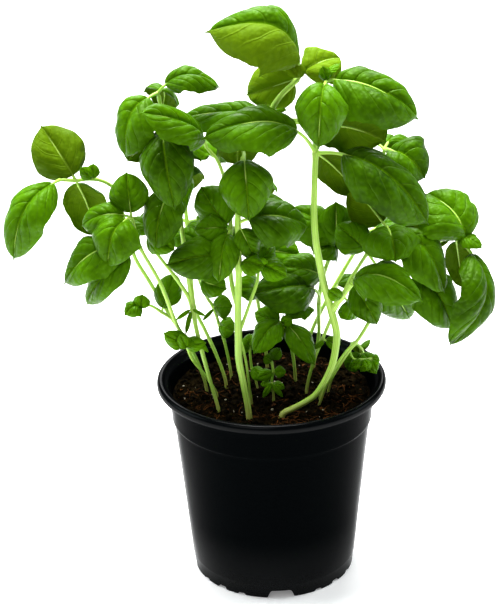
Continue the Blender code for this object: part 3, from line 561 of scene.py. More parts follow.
# %% Node group: basil veins
VEIN_PAIRS = 6.0
VEIN_CROWDING = 0.8  # below 1, veins stand closer together near the stalk
VEIN_SLANT = 2.5
VEIN_CURVE = 1.5  # above 1, veins bend towards the tip
VEIN_STAGGER = 0.35  # how far the two sides are out of step

veins_group, given, gives = new_group("basil_veins", ["Map", "Place"], {"Vein width": 0.07},
                                      ["Midrib", "Side veins", "Pillows", "Blisters"])
wander = box_in(veins_group, "ShaderNodeTexNoise",
                inputs={"Vector": given["Place"], "Scale": 70.0, "Detail": 1.0})
wander = box_in(veins_group, "ShaderNodeVectorMath", operation="MULTIPLY_ADD",
                inputs={0: wander.outputs["Color"], 1: (0.0, 0.10, 0.0), 2: (0.0, -0.05, 0.0)})
wandered = box_in(veins_group, "ShaderNodeVectorMath", operation="ADD",
                  inputs={0: given["Map"], 1: wander.outputs[0]})
split = box_in(veins_group, "ShaderNodeSeparateXYZ", inputs={"Vector": wandered.outputs[0]})
across, along = split.outputs["X"], split.outputs["Y"]
out_from_rib = sum_of("ABSOLUTE", sum_of("MULTIPLY_ADD", across, 2.0, -1.0))
rise = sum_of("MULTIPLY", sum_of("POWER", sum_of("MAXIMUM", along, 0.0), VEIN_CROWDING),
              VEIN_PAIRS)
slant = sum_of("MULTIPLY", sum_of("POWER", out_from_rib, VEIN_CURVE), VEIN_SLANT)
vein_count = sum_of("MULTIPLY_ADD", sum_of("GREATER_THAN", across, 0.5), VEIN_STAGGER,
                    sum_of("SUBTRACT", rise, slant))
off_vein = sum_of("PINGPONG", vein_count, 0.5)
side_mask = sum_of("MULTIPLY",
                   sum_of("SUBTRACT", 1.0, ramp(off_vein, 0.0, given["Vein width"])),
                   ramp(out_from_rib, 0.95, 0.55))
net = box_in(veins_group, "ShaderNodeTexVoronoi", feature="SMOOTH_F1",
             inputs={"Vector": given["Place"], "Scale": 420.0, "Smoothness": 0.6})
wire(sum_of("SUBTRACT", 1.0, ramp(out_from_rib, 0.015, 0.065)), gives["Midrib"])
wire(side_mask, gives["Side veins"])
wire(ramp(off_vein, 0.0, 0.35), gives["Pillows"])
wire(ramp(net.outputs["Distance"], 0.75, 0.15), gives["Blisters"])
print(veins_group.name, len(veins_group.nodes), "nodes")

# %% Node group: uneven growth, which no living surface is without
uneven_group, given, gives = new_group("uneven_growth", ["Place"],
                                       {"Broad": 60.0, "Fine": 700.0},
                                       ["Broad patches", "Fine grain"])
for scale, detail, label in (("Broad", 2.0, "Broad patches"), ("Fine", 3.0, "Fine grain")):
    cloud = box_in(uneven_group, "ShaderNodeTexNoise",
                   inputs={"Vector": given["Place"], "Scale": given[scale], "Detail": detail})
    wire(ramp(cloud.outputs["Fac"], 0.3, 0.7), gives[label])
print(uneven_group.name, len(uneven_group.nodes), "nodes")

# %% [markdown]
# ### Leaf, seen from above and from below
# The upper side is smooth, rather glossy and bright grass green; the underside
# is matt, paler and yellower, and its veins stand out. Light also comes through
# a leaf, so both faces mix in some Translucent. Every leaf carries a tone of
# its own, stored in its mesh: young leaves are yellower than old ones. A tone
# listed in the plan is partly the leaf's own colour and partly painted light and
# shade. The fine blisters are painted lighter on top and darker between them,
# a painted shade on the relief.

# %% Leaf material, made twice with different values
def leaf_material(name, deep, bright, vein, rib, glow, roughness, through, vein_share, relief):
    """A leaf finish of five colours; relief is below 0 where the veins are sunk."""
    made, shader, place = new_material(name, Roughness=roughness, Specular_IOR_Level=0.15,
                                       Specular_Tint=(0.55, 1.0, 0.15, 1.0))
    tree = made.node_tree
    own_map = box_in(tree, "ShaderNodeUVMap", uv_map="leaf_map").outputs["UV"]
    tone = box_in(tree, "ShaderNodeAttribute", attribute_name="leaf_tone").outputs["Fac"]
    pattern = use_group(veins_group, Map=own_map, Place=place, Vein_width=0.085)
    patches = use_group(uneven_group, Place=place, Broad=55.0, Fine=900.0)
    # The mix of deep and bright green: broad patches are the leaf's own colour, the tone is
    # partly painted light and shade, and the blisters' light tops and dark edges are painted
    # shade on the relief.
    shade = sum_of("MULTIPLY_ADD", patches["Broad patches"], 0.30,
                   sum_of("MULTIPLY_ADD", pattern["Blisters"], 0.16,
                          sum_of("SUBTRACT", tone, 0.05)))
    flesh = blend_colours(shade, deep, bright)
    flesh = blend_colours(sum_of("MULTIPLY", pattern["Side veins"], vein_share), flesh, vein)
    colour = blend_colours(sum_of("MULTIPLY", pattern["Midrib"], 0.65), flesh, rib)
    wire(colour, shader.inputs["Base Color"])
    wire(sum_of("MULTIPLY_ADD", patches["Fine grain"], 0.12, roughness - 0.06),
         shader.inputs["Roughness"])
    puckers = box_in(tree, "ShaderNodeTexNoise",
                     inputs={"Vector": place, "Scale": 130.0, "Detail": 3.0})
    lines = sum_of("ADD", pattern["Side veins"], pattern["Midrib"])
    bump(shader, 0.6, 0.0007,
         sum_of("ADD",
                sum_of("MULTIPLY_ADD", puckers.outputs["Fac"], 2.6,
                       sum_of("MULTIPLY", lines, relief)),
                sum_of("MULTIPLY_ADD", pattern["Blisters"], 0.42,
                       sum_of("MULTIPLY", pattern["Pillows"], 0.45))))
    lit_through = box_in(tree, "ShaderNodeBsdfTranslucent",
                         inputs={"Color": blend_colours(0.6, colour, glow)})
    both = box_in(tree, "ShaderNodeMixShader",
                  inputs={0: through, 1: shader.outputs[0], 2: lit_through.outputs[0]})
    wire(both.outputs[0], tree.nodes["Material Output"].inputs["Surface"])
    return made


leaf_upper = leaf_material(
    "basil_leaf_upper", deep=(0.012, 0.040, 0.0001), bright=(0.112, 0.310, 0.0006),
    vein=(0.088, 0.205, 0.0010), rib=(0.22, 0.45, 0.010), glow=(0.18, 0.40, 0.0005),
    roughness=0.37, through=0.22, vein_share=0.28, relief=-1.0)
leaf_under = leaf_material(
    "basil_leaf_underside", deep=(0.060, 0.120, 0.0006), bright=(0.15, 0.27, 0.002),
    vein=(0.19, 0.32, 0.008), rib=(0.28, 0.45, 0.03), glow=(0.20, 0.38, 0.0005),
    roughness=0.62, through=0.26, vein_share=0.30, relief=0.8)
print("leaf finishes:", leaf_upper.name, leaf_under.name)

# %% [markdown]
# ### Stem
# Basil stems are square with blunt corners, pale green and juicy, and browner
# where they leave the soil. The streaks run along the stem, so they follow the
# tube's own map: a noise that is stretched far along the map's length makes
# lines.

# %% Stem material
stem_skin, stem_shader, stem_place = new_material(
    "basil_stem", Roughness=0.42, Specular_IOR_Level=0.4, Subsurface_Weight=0.25,
    Subsurface_Scale=0.002, Subsurface_Radius=(0.6, 1.0, 0.2))
stem_tree = stem_skin.node_tree
stem_map = box_in(stem_tree, "ShaderNodeUVMap", uv_map="leaf_map").outputs["UV"]
stretched = box_in(stem_tree, "ShaderNodeMapping",
                   inputs={"Vector": stem_map, "Scale": (22.0, 1.6, 1.0)}).outputs[0]
streaks = box_in(stem_tree, "ShaderNodeTexNoise",
                 inputs={"Vector": stretched, "Scale": 1.0, "Detail": 3.0}).outputs["Fac"]
stem_patches = use_group(uneven_group, Place=stem_place, Broad=45.0, Fine=1400.0)
stem_colour = blend_colours(ramp(streaks, 0.32, 0.68), (0.27, 0.52, 0.030), (0.60, 0.86, 0.17))
stem_colour = blend_colours(sum_of("MULTIPLY", stem_patches["Broad patches"], 0.35),
                            stem_colour, (0.20, 0.42, 0.015))
stem_colour = blend_colours(ramp(height_of(stem_place), 0.124, 0.107, 0.0, 0.75),
                            stem_colour, (0.30, 0.26, 0.07))
wire(stem_colour, stem_shader.inputs["Base Color"])
bump(stem_shader, 0.3, 0.0003, streaks)
print(stem_skin.name, len(stem_tree.nodes), "nodes")

# %% [markdown]
# ### Black plastic
# A thin moulded pot is satin, never quite even: faint cloudy patches in the
# gloss, a fine orange-peel skin, and a speckled bluish grey at the foot, partly
# peat dust and partly a painted reflection of the pale floor. It shines
# most where it turns away from the eye, on its rounded lip, and low down, where
# it picks up the pale floor.

# %% Pot material
plastic, plastic_shader, pot_place = new_material(
    "black_pot_plastic", Roughness=0.36, Specular_IOR_Level=0.004, Coat_Roughness=0.20,
    Coat_IOR=1.45)
pot_patches = use_group(uneven_group, Place=pot_place, Broad=28.0, Fine=1100.0)
pot_height = height_of(pot_place)
# Speckled bluish grey painted at the foot: partly dust, partly a painted reflection of the floor
dust_and_painted_reflection = sum_of("MULTIPLY", ramp(pot_height, 0.016, 0.0, 0.0, 0.5), pot_patches["Fine grain"])
wire(blend_colours(dust_and_painted_reflection, (0.0006, 0.0010, 0.0012), (0.0032, 0.0038, 0.0038)),
     plastic_shader.inputs["Base Color"])
wire(sum_of("MULTIPLY_ADD", pot_patches["Broad patches"], 0.07, 0.30),
     plastic_shader.inputs["Roughness"])
turned_away = box_in(plastic.node_tree, "ShaderNodeLayerWeight",
                     inputs={"Blend": 0.5}).outputs["Facing"]
lip_gloss = ramp(pot_height, 0.1132, 0.1150, 0.0, 0.14)
low_sheen = ramp(pot_height, 0.040, 0.004, 0.0, 0.14)
wire(sum_of("ADD", ramp(turned_away, 0.74, 1.0, 0.0, 0.34), sum_of("ADD", lip_gloss, low_sheen)),
     plastic_shader.inputs["Coat Weight"])
bump(plastic_shader, 0.08, 0.0002, pot_patches["Fine grain"])
print(plastic.name, len(plastic.node_tree.nodes), "nodes")

# %% [markdown]
# ### Peat, fibre and perlite
# Potting soil is dark brown peat with reddish wood fibres and a few white
# grains of perlite. Colour changes from crumb to crumb, so the peat reads a
# noise at crumb size and a much finer one on top of it.

# %% Soil materials
def soil_material(name, dark, light, crumb_scale, roughness, bump_depth):
    made, shader, place = new_material(name, Roughness=roughness, Specular_IOR_Level=0.02)
    patches = use_group(uneven_group, Place=place, Broad=crumb_scale, Fine=crumb_scale * 7)
    share = sum_of("MULTIPLY", patches["Broad patches"],
                   sum_of("MULTIPLY_ADD", patches["Fine grain"], 0.7, 0.3))
    wire(blend_colours(share, dark, light), shader.inputs["Base Color"])
    bump(shader, 0.6, bump_depth, patches["Fine grain"])
    return made


peat = soil_material("dark_peat", (0.0009, 0.0008, 0.0002), (0.0145, 0.0086, 0.0018),
                     crumb_scale=300.0, roughness=0.92, bump_depth=0.0006)
red_fibre = soil_material("red_wood_fibre", (0.030, 0.011, 0.004), (0.15, 0.058, 0.015),
                          crumb_scale=260.0, roughness=0.8, bump_depth=0.0003)
perlite = soil_material("perlite_grain", (0.28, 0.25, 0.17), (0.62, 0.58, 0.45),
                        crumb_scale=500.0, roughness=0.85, bump_depth=0.0002)
print("soil finishes:", peat.name, red_fibre.name, perlite.name)

# %% [markdown]
# ## The pot
# A thin round pot could be a lathe profile, but walking one ring of edges up
# the outside, over the lip and down the inside is how it is done by hand:
# extrude, lift, resize, again and again. The feet are then cut out of the
# standing ring with small tapered blocks, and the drain holes with cylinders.

# %% Walking a ring along a section
POT_HEIGHT = 118.8
RIM_RADIUS = 65.0
FOOT_RADIUS = 46.4
WALL = 1.3
FLOOR_UNDERSIDE = 3.4
LEDGE_HEIGHT = 95.0
LEDGE_RADIUS = 55.9
BAND_RADIUS = 58.4
SOIL_LEVEL = 106.5  # mean height of the peat
PLANTING_DEPTH = 20.0
FOOT_TURN = 4.0  # degrees
POT_RING = 160  # points round the pot


def walk_ring(name, section, ring):
    """Turn a section of (radius, height) in mm into a closed solid of revolution."""
    bpy.ops.object.select_all(action="DESELECT")
    radius, z = section[0]
    bpy.ops.mesh.primitive_circle_add(vertices=ring, radius=radius * MM,
                                      fill_type="NGON", location=(0, 0, z * MM))
    thing = bpy.context.object
    thing.name = name
    settle(thing)
    with editing(thing):
        for next_radius, next_z in section[1:]:
            bpy.ops.mesh.extrude_region_move(
                TRANSFORM_OT_translate={"value": (0, 0, (next_z - z) * MM)})
            grow = next_radius / radius
            bpy.ops.transform.resize(value=(grow, grow, 1), center_override=(0, 0, next_z * MM))
            radius, z = next_radius, next_z
        bpy.ops.mesh.select_all(action="SELECT")
        bpy.ops.mesh.normals_make_consistent(inside=False)
    return thing


def wall_radius(z):
    return FOOT_RADIUS + (LEDGE_RADIUS - FOOT_RADIUS) * z / LEDGE_HEIGHT


outside = [(10.0, 0.0), (11.5, FLOOR_UNDERSIDE), (FOOT_RADIUS - 3.0, FLOOR_UNDERSIDE),
           (FOOT_RADIUS - 2.2, 0.3), (FOOT_RADIUS - 1.9, 0.0), (FOOT_RADIUS - 0.6, 0.0),
           (FOOT_RADIUS - 0.1, 0.5), (wall_radius(7.9) - 0.28, 7.9),
           (wall_radius(8.4) - 0.10, 8.3), (wall_radius(9.0), 8.9)]
outside += [(wall_radius(z), z) for z in (20, 35, 50, 65, 80, 92.5, 94.0)]
outside += [(56.15, 94.4), (56.75, 94.7), (57.0, 95.2), (57.02, 96.4), (57.3, 100.0),
            (57.9, 107.0), (BAND_RADIUS, 112.2), (58.8, 113.1), (59.7, 113.6),
            (63.6, 113.9), (64.5, 114.2), (64.95, 115.0), (RIM_RADIUS, 116.1),
            (64.75, 117.3), (64.1, 118.3), (63.2, POT_HEIGHT), (62.2, 118.7)]
inside = [(61.4, 118.2), (60.9, 117.3), (60.3, 116.5), (59.2, 116.1), (58.4, 115.3),
          (57.3, 112.0), (55.8, 97.0), (55.5, 96.0), (54.6, 95.2), (54.4, 93.0)]
inside += [(wall_radius(z) - WALL, z) for z in (70, 40, 12)]
inside += [(FOOT_RADIUS - WALL - 0.4, 5.4), (FOOT_RADIUS - WALL - 2.0, 4.7), (0.5, 4.7)]
pot = walk_ring("pot_shell", outside + inside, POT_RING)
print("pot wall:", len(pot.data.polygons), "faces")


# %% Cutting the feet and the drain holes
# The cuts in each quarter of the standing ring, in mm and degrees: the width at the
# floor and at the top, the height, the rounding, and the turn.
FOOT_CUTS = ((17.4, 11.6, 4.9, 1.2, 0), (6.4, 4.0, 1.5, 0.6, -28.5),
             (6.4, 4.0, 1.5, 0.6, 28.5), (8.4, 5.2, 2.2, 0.8, 45))
DRAIN_HOLES = 6
DRAIN_CIRCLE = 28.0
DRAIN_RADIUS = 5.0


def polar(radius, turn):
    return radius * math.cos(turn), radius * math.sin(turn)


def foot_cutter(width_low, width_high, height, rounding, turn):
    """A tapered block across the standing ring, with blunt upper corners."""
    bpy.ops.object.select_all(action="DESELECT")
    bpy.ops.mesh.primitive_cube_add(size=1, scale=(width_low * MM, 14 * MM, (height + 2) * MM),
                                    location=(0, -FOOT_RADIUS * MM, (height / 2 - 1) * MM))
    block = bpy.context.object
    settle(block)
    top = height * MM - 1e-6
    with editing(block):
        work = bmesh.from_edit_mesh(block.data)
        for vert in work.verts:
            vert.select = vert.co.z > top
        work.select_flush_mode()
        bmesh.update_edit_mesh(block.data)
        share = width_high / width_low
        bpy.ops.transform.resize(value=(share, 1, 1), center_override=(0, 0, 0))
        work = bmesh.from_edit_mesh(block.data)
        for edge in work.edges:
            a, b = edge.verts
            edge.select = a.co.z > top and b.co.z > top and abs(a.co.y - b.co.y) > 5 * MM
        bmesh.update_edit_mesh(block.data)
        bpy.ops.mesh.bevel(offset=rounding * MM, segments=4, affect="EDGES")
    block.rotation_euler.z = math.radians(turn)
    settle(block)
    return block


cutters = []
for quarter in range(4):
    for *size, turn in FOOT_CUTS:
        cutters.append(foot_cutter(*size, FOOT_TURN + 90 * quarter + turn))
for hole in range(DRAIN_HOLES):
    turn = math.radians(FOOT_TURN + 30 + 360 / DRAIN_HOLES * hole)
    bpy.ops.object.select_all(action="DESELECT")
    bpy.ops.mesh.primitive_cylinder_add(
        vertices=32, radius=DRAIN_RADIUS * MM, depth=11 * MM,
        location=(*polar(DRAIN_CIRCLE * MM, turn), 3.5 * MM))
    cutters.append(bpy.context.object)
    settle(cutters[-1])
block = join("pot_cutters", cutters)
cut = pot.modifiers.new("feet", "BOOLEAN")
cut.operation = "DIFFERENCE"
cut.solver = "EXACT"
cut.use_self = True
cut.object = block
apply_all(pot)
bpy.data.objects.remove(block)
only(pot)
bpy.ops.object.shade_smooth_by_angle(angle=math.radians(38))
pot.data.materials.append(plastic)
finish_piece(pot, "black_plastic", "pot")

# %% [markdown]
# ## The soil
# The peat fills the pot to about a centimetre below the lip. Its body is one
# more walked ring, with many rings close together on top, so that the surface
# can be roughened by moving its points. Crumbs, wood fibres and perlite are
# then scattered over it: each is modelled once, and copies of it are turned,
# sized and dropped on the surface.

# %% Peat surface
SOIL_EDGE = 56.2
SOIL_RING = 150  # points round the peat
SOIL_TOP = SOIL_LEVEL - 2.5  # points above this height lie on the surface


def soil_height(x, y):
    """Height of the peat in mm: the broad mounds, then clods, then crumbs."""
    radius, turn = math.hypot(x, y), math.atan2(y, x)
    swell = math.sin(3 * turn + radius / 9) + 0.7 * math.cos(5 * turn - radius / 7)
    clods = noise.noise(Vector((x, y, 3.0)) / 7.5) * 1.7
    crumbs = noise.noise(Vector((x, y, 9.0)) / 2.2) * 0.8
    hollow = -1.2 * max(0.0, 1.0 - math.hypot(x - 4, y + 2) / 30)
    return SOIL_LEVEL + 0.5 + 0.8 * swell + clods + crumbs + hollow


section = [(40.0, 5.2), (wall_radius(7) - WALL - 0.6, 5.6),
           (LEDGE_RADIUS - WALL - 0.6, LEDGE_HEIGHT - 1), (SOIL_EDGE, SOIL_LEVEL)]
section += [(SOIL_EDGE - 0.8 * step, SOIL_LEVEL) for step in range(1, 70)]
soil = walk_ring("soil_body", section, SOIL_RING)
places = corners(soil)
for place in places:
    if place[2] > SOIL_TOP * MM:
        place[2] = soil_height(place[0] / MM, place[1] / MM) * MM
move_corners(soil, places)
only(soil)
bpy.ops.object.shade_smooth()
soil.data.materials.append(peat)
print("peat:", triangles(soil), "triangles")


# %% Crumbs and perlite: one grain each, copied
def grain(name, detail, roughness, seed):
    """A knobbly grain about 1 mm across, made from a ball by random moves."""
    bpy.ops.object.select_all(action="DESELECT")
    bpy.ops.mesh.primitive_ico_sphere_add(subdivisions=detail, radius=0.5)
    made = bpy.context.object
    made.name = name
    with editing(made):
        bpy.ops.transform.vertex_random(offset=roughness, uniform=1.0, seed=seed)
    return made


def random_spot(reach):
    """A place on a disc, as likely in one part of it as in another."""
    radius = reach * math.sqrt(random.random())
    return polar(radius, random.uniform(0, 2 * math.pi))


def scatter(name, pattern, count, smallest, largest, reach, finish, flat=0.75, sink=0.2):
    """Copies of a pattern, turned and sized at random, lying on the peat."""
    shape = corners(pattern)
    faces = [tuple(face.vertices) for face in pattern.data.polygons]
    points, all_faces = [], []
    for _ in range(count):
        x, y = random_spot(reach)
        size = smallest + (largest - smallest) * random.random() ** 2.5
        spin = (Matrix.Rotation(random.uniform(0, 6.28), 3, "Z")
                @ Matrix.Rotation(random.uniform(-0.6, 0.6), 3, "X")
                @ Matrix.Diagonal((size, size * random.uniform(0.6, 1.0), size * flat)))
        z = soil_height(x, y) + size * (0.5 - sink) * flat
        moved = shape @ np.array(spin).T + np.array((x, y, z))
        first = len(points) * len(shape)
        all_faces += [tuple(first + corner for corner in face) for face in faces]
        points.append(moved * MM)
    mesh = bpy.data.meshes.new(name)
    mesh.from_pydata(np.concatenate(points).tolist(), [], all_faces)
    mesh.materials.append(finish)
    made = bpy.data.objects.new(name, mesh)
    scene.collection.objects.link(made)
    bpy.data.objects.remove(pattern)
    return made


# Each kind of litter: the grain, how many, the smallest and the largest in mm, how far
# out they lie, the finish, how flat they are and how deep they sink.
litter = [
    scatter("peat_crumbs", grain("crumb", 1, 0.16, 3), 1900, 0.9, 3.4, 54.5, peat),
    scatter("peat_clods", grain("clod", 2, 0.13, 5), 260, 2.6, 6.5, 52.5, peat, 0.6, 0.28),
    scatter("perlite", grain("perlite", 2, 0.08, 8), 46, 0.8, 2.0, 52.0, perlite, 0.9, 0.1),
    scatter("wood_chips", grain("chip", 1, 0.2, 9), 80, 1.2, 3.6, 53.5, red_fibre, 0.35, 0.0),
]
for piece in litter:
    print(piece.name, triangles(piece), "triangles")

# %% [markdown]
# ## One tube for every stem
# Stems, leaf stalks and wood fibres are all tubes that follow a bent line. One
# flat strip of faces is made once; each copy is rolled up round its own line.
# Rolling a strip keeps its map, so streaks can run along the stem.

# %% A smooth line through planned points
def at_shares(at, run, rows):
    """Points of a line, read off where its run has these values."""
    return np.stack([np.interp(at, run, column) for column in rows.T], axis=1)


def smooth_line(points, count):
    """Evenly spaced points on a smooth curve through the planned ones."""
    knots = [Vector(p) for p in points]
    knots = [knots[0] * 2 - knots[1]] + knots + [knots[-1] * 2 - knots[-2]]
    fine = []
    for a, b, c, d in zip(knots, knots[1:], knots[2:], knots[3:]):
        near = min((b - a).length, (c - b).length)
        far = min((c - b).length, (d - c).length)
        lean_b = (c - a).normalized() * near * 0.9
        lean_c = (d - b).normalized() * far * 0.9
        for step in range(12):
            s = step / 12
            fine.append(b * (2 * s ** 3 - 3 * s ** 2 + 1) + lean_b * (s ** 3 - 2 * s ** 2 + s)
                        + c * (3 * s ** 2 - 2 * s ** 3) + lean_c * (s ** 3 - s ** 2))
    fine.append(knots[-2])
    fine = np.array([tuple(p) for p in fine])
    run = np.concatenate([[0], np.cumsum(np.linalg.norm(np.diff(fine, axis=0), axis=1))])
    at = np.linspace(0, run[-1], count)
    return at_shares(at, run, fine)


print("half way up a bent line:", smooth_line([(0, 0, 0), (3, 0, 5), (0, 0, 10)], 3)[1])

# %% The strip, and rolling it round a line
def flat_pattern(across, along, *finishes):
    """A flat grid from -1 to 1, with its own map, to make bent copies of."""
    bpy.ops.object.select_all(action="DESELECT")
    bpy.ops.mesh.primitive_grid_add(x_subdivisions=across, y_subdivisions=along, size=2)
    pattern = bpy.context.object
    pattern.data.uv_layers[0].name = "leaf_map"
    for finish in finishes:
        pattern.data.materials.append(finish)
    return pattern


def bent_copy(name, pattern, places, tone):
    """A copy of a flat pattern with its points at these places, and with a tone."""
    thing = pattern.copy()
    thing.data = pattern.data.copy()
    thing.name = name
    scene.collection.objects.link(thing)
    move_corners(thing, places * MM)
    mark = thing.data.attributes.new("leaf_tone", "FLOAT", "POINT")
    mark.data.foreach_set("value", np.full(len(places), tone))
    return thing


# Faces round and along each strip, from the main stems to the wood fibres
strips = {size: flat_pattern(*size) for size in ((16, 90), (12, 40), (8, 24), (6, 12), (5, 7))}


def rolled(name, line, radii, strip, blunt=0.0, tone=0.5):
    """A copy of a strip rolled round a line; blunt makes the section squarish."""
    flat = corners(strips[strip])
    turn = np.pi * flat[:, :1]
    ring = (flat[:, 1] + 1) / 2 * (len(line) - 1)
    rings = np.arange(len(line))
    steps = np.gradient(line, axis=0)
    steps /= np.linalg.norm(steps, axis=1)[:, None]
    side = np.cross((0.0, 1.0, 0.0), steps[0])
    if np.linalg.norm(side) < 0.05:
        side = np.array((1.0, 0.0, 0.0))
    sides = []
    for step in steps:
        side = side - step * np.dot(side, step)
        side = side / np.linalg.norm(side)
        sides.append(side)
    sides = np.array(sides)
    radius = np.interp(ring, rings, radii)[:, None] * (1 + blunt * np.cos(4 * turn))
    places = (at_shares(ring, rings, line)
              + at_shares(ring, rings, sides) * (radius * np.cos(turn))
              + at_shares(ring, rings, np.cross(steps, sides)) * (radius * np.sin(turn)))
    return bent_copy(name, strips[strip], places, tone)


def close_tubes(thing):
    """Sew the rolled strips' long edges together and close their ends."""
    with editing(thing):
        bpy.ops.mesh.remove_doubles(threshold=2e-6)
        bpy.ops.mesh.fill_holes(sides=40)
        bpy.ops.mesh.select_all(action="SELECT")
        bpy.ops.mesh.normals_make_consistent(inside=False)


print("strips:", sorted(strips))

# %% Wood fibres on the soil, most of them in a few tufts
# Where each tuft is and how far it spreads, in mm
TUFTS = ((-30, -34, 11), (-6, -44, 8), (8, -40, 7), (40, -14, 12), (34, -30, 9), (-44, -8, 8))
FIBRE_START = 53  # mm from the middle; no fibre starts further out
FIBRE_TURN_BACK = 54.5
FIBRE_EDGE = 55
fibres = []
for number in range(330):
    if number % 3:
        middle_x, middle_y, spread = random.choice(TUFTS)
        x, y = random.gauss(middle_x, spread), random.gauss(middle_y, spread)
    else:
        x, y = random_spot(52)
    if math.hypot(x, y) > FIBRE_START:
        continue
    heading = random.uniform(0, 2 * math.pi)
    length = random.uniform(3, 12)
    points = []
    for step in range(4):
        heading += random.uniform(-0.5, 0.5)
        if math.hypot(x, y) > FIBRE_TURN_BACK:
            x, y = x * 0.97, y * 0.97
        points.append((x, y, soil_height(x, y) + random.uniform(0.1, 1.6)))
        ahead_x, ahead_y = polar(length / 3, heading)
        x, y = x + ahead_x, y + ahead_y
    points = [p for p in points if math.hypot(p[0], p[1]) < FIBRE_EDGE]
    if len(points) < 3:
        continue
    line = smooth_line(points, 8)
    thick = random.uniform(0.12, 0.36)
    fibre = rolled("fibre", line, thick * np.array([0.4, 1, 1, 0.9, 1, 0.8, 0.6, 0.2]), (5, 7))
    fibre.data.materials.append(red_fibre if random.random() < 0.8 else peat)
    fibres.append(fibre)
fibre_piece = join("wood_fibres", fibres)
close_tubes(fibre_piece)
only(fibre_piece)
bpy.ops.object.shade_smooth()
soil = join("potting_soil_surface", [soil] + litter + [fibre_piece])
finish_piece(soil, "potting_soil", "soil")

# %% [markdown]
# ## One leaf for every leaf
# A flat grid stands for a blade: its width is the grid's x, its length the
# grid's y, and the grid's own map later carries the veins. A copy is bent onto
# each planned leaf in one go: the midrib follows a bow from root to tip, the
# halves cup or hang, the margin waves, and the flesh puffs up between veins.
# Solidify then gives all blades their thickness and a separate underside.

# %% The bow of a leaf
def blade_outline(t):
    """Half width of a blade at t, as a share of its greatest: an oval with a short point."""
    oval = np.clip(1.0 - t / 0.965, 0, 1) ** 0.5 * (t / 0.965) ** 0.45 / 0.5185
    point = 1.9 * (1.0 - t) * np.clip(t, 0, 0.9)
    return np.maximum(oval, np.minimum(point, 0.30))


def bow(leaf, root):
    """The three points of the midrib's curve, the way the leaf faces, and its length."""
    start, tip = np.array(root, float), np.array(leaf.tip, float)
    chord = tip - start
    length = np.linalg.norm(chord)
    along = chord / length
    face = np.array(leaf.face, float)
    face = face - along * np.dot(face, along)
    face /= np.linalg.norm(face)
    return start, start + chord * 0.42 + face * (2.0 * leaf.arch * length), tip, face, length


def midrib(curve, s):
    """Points, sides and faces on the midrib at s, for an array of s."""
    start, middle, tip, face, _ = curve
    s = np.asarray(s, float)[:, None]
    point = start * (1 - s) ** 2 + middle * (2 * s * (1 - s)) + tip * s ** 2
    along = (middle - start) * (1 - s) + (tip - middle) * s
    along /= np.linalg.norm(along, axis=1)[:, None]
    normal = face - along * (along @ face)[:, None]
    normal /= np.linalg.norm(normal, axis=1)[:, None]
    return point, np.cross(along, normal), normal


print("half widths along a blade:", blade_outline(np.linspace(0, 1, 6)).round(2))

# %% Bending one blade
BLADE_THICKNESS = 0.42
RIB_GROOVE = 0.4
FULL_WIDTH = 34.0  # mm; narrower leaves have finer teeth and ribs


def blade_places(leaf, curve, t, v, phase):
    """Middle surface of a blade for arrays of t along it and v across it."""
    point, side, normal = midrib(curve, leaf.stalk + (1 - leaf.stalk) * t)
    size = min(1.0, leaf.wide / FULL_WIDTH)
    teeth = 1 - 0.014 * size * (0.5 + 0.5 * np.sin(2 * np.pi * 13 * t))
    half = np.maximum(0.5 * leaf.wide * blade_outline(t) * teeth, 0.28)
    bend = math.radians(leaf.cup)
    across = half * np.sin(bend * v) / bend
    drop = half * (1 - np.cos(bend * v)) / bend
    out, right = np.abs(v), v > 0
    puff = 0.16 * half * np.sin(np.pi * out ** 0.8)
    wave = 0.13 * half * v * v * np.sin(10.0 * t + phase + 1.7 * right)
    ruffle = 0.045 * half * out ** 3 * np.sin(24.0 * t + 2.3 * phase + 2.1 * right)
    vein_count = VEIN_PAIRS * t ** VEIN_CROWDING - VEIN_SLANT * out ** VEIN_CURVE
    vein_count += VEIN_STAGGER * right
    off_vein = 2 * np.abs(vein_count - np.round(vein_count))
    flesh = np.sin(np.pi * np.clip(out, 0, 1)) ** 0.6
    pillow = 0.032 * half * (1 - (1 - off_vein) ** 2) * flesh
    rolled_edge = 0.10 * half * np.clip((out - 0.62) / 0.38, 0, 1) ** 2
    groove = RIB_GROOVE * size * np.exp(-(across / (1.1 * size + 0.2)) ** 2)
    swell = 0.08 * half * np.sin(5.0 * t + 1.9 * phase) * np.sin(2.2 * v + 0.7 * phase)
    up = puff + wave + ruffle + pillow + swell - drop - groove - rolled_edge
    return point + side * across[:, None] + normal * up[:, None]


BLADE_GRIDS = {"large": (28, 46), "medium": (20, 32), "small": (12, 18)}
LARGE_BLADE = 46  # mm from root to tip
MEDIUM_BLADE = 20
blades = {level: flat_pattern(*grid, leaf_upper, leaf_under)
          for level, grid in BLADE_GRIDS.items()}
UNDERSIDE = 1  # the place of the paler finish among a blade's two


def bent_blade(name, leaf, curve, phase, tone):
    """A copy of the flat blade, bent onto one planned leaf."""
    length = curve[4]
    level = ("large" if length > LARGE_BLADE else
             "medium" if length > MEDIUM_BLADE else "small")
    flat = corners(blades[level])
    v = flat[:, 0]
    t = (flat[:, 1] + 1) / 2
    t = 0.65 * t + 0.35 * (0.5 - 0.5 * np.cos(np.pi * t))  # closer rows at both ends
    thing = bent_copy(name, blades[level], blade_places(leaf, curve, t, v, phase), tone)
    # A near-half turn puts the paler finish on an upper side: painted glow of light shining
    # through.
    if leaf.turned:
        for face in thing.data.polygons:
            if leaf.turned == "whole" or v[list(face.vertices)].mean() < 0:
                face.material_index = UNDERSIDE
    return thing


print("blade patterns:", {level: triangles(thing) for level, thing in blades.items()})


# %% Leaf stalks and midribs
RIB_REACH = 0.88  # share of the blade that its raised midrib runs along


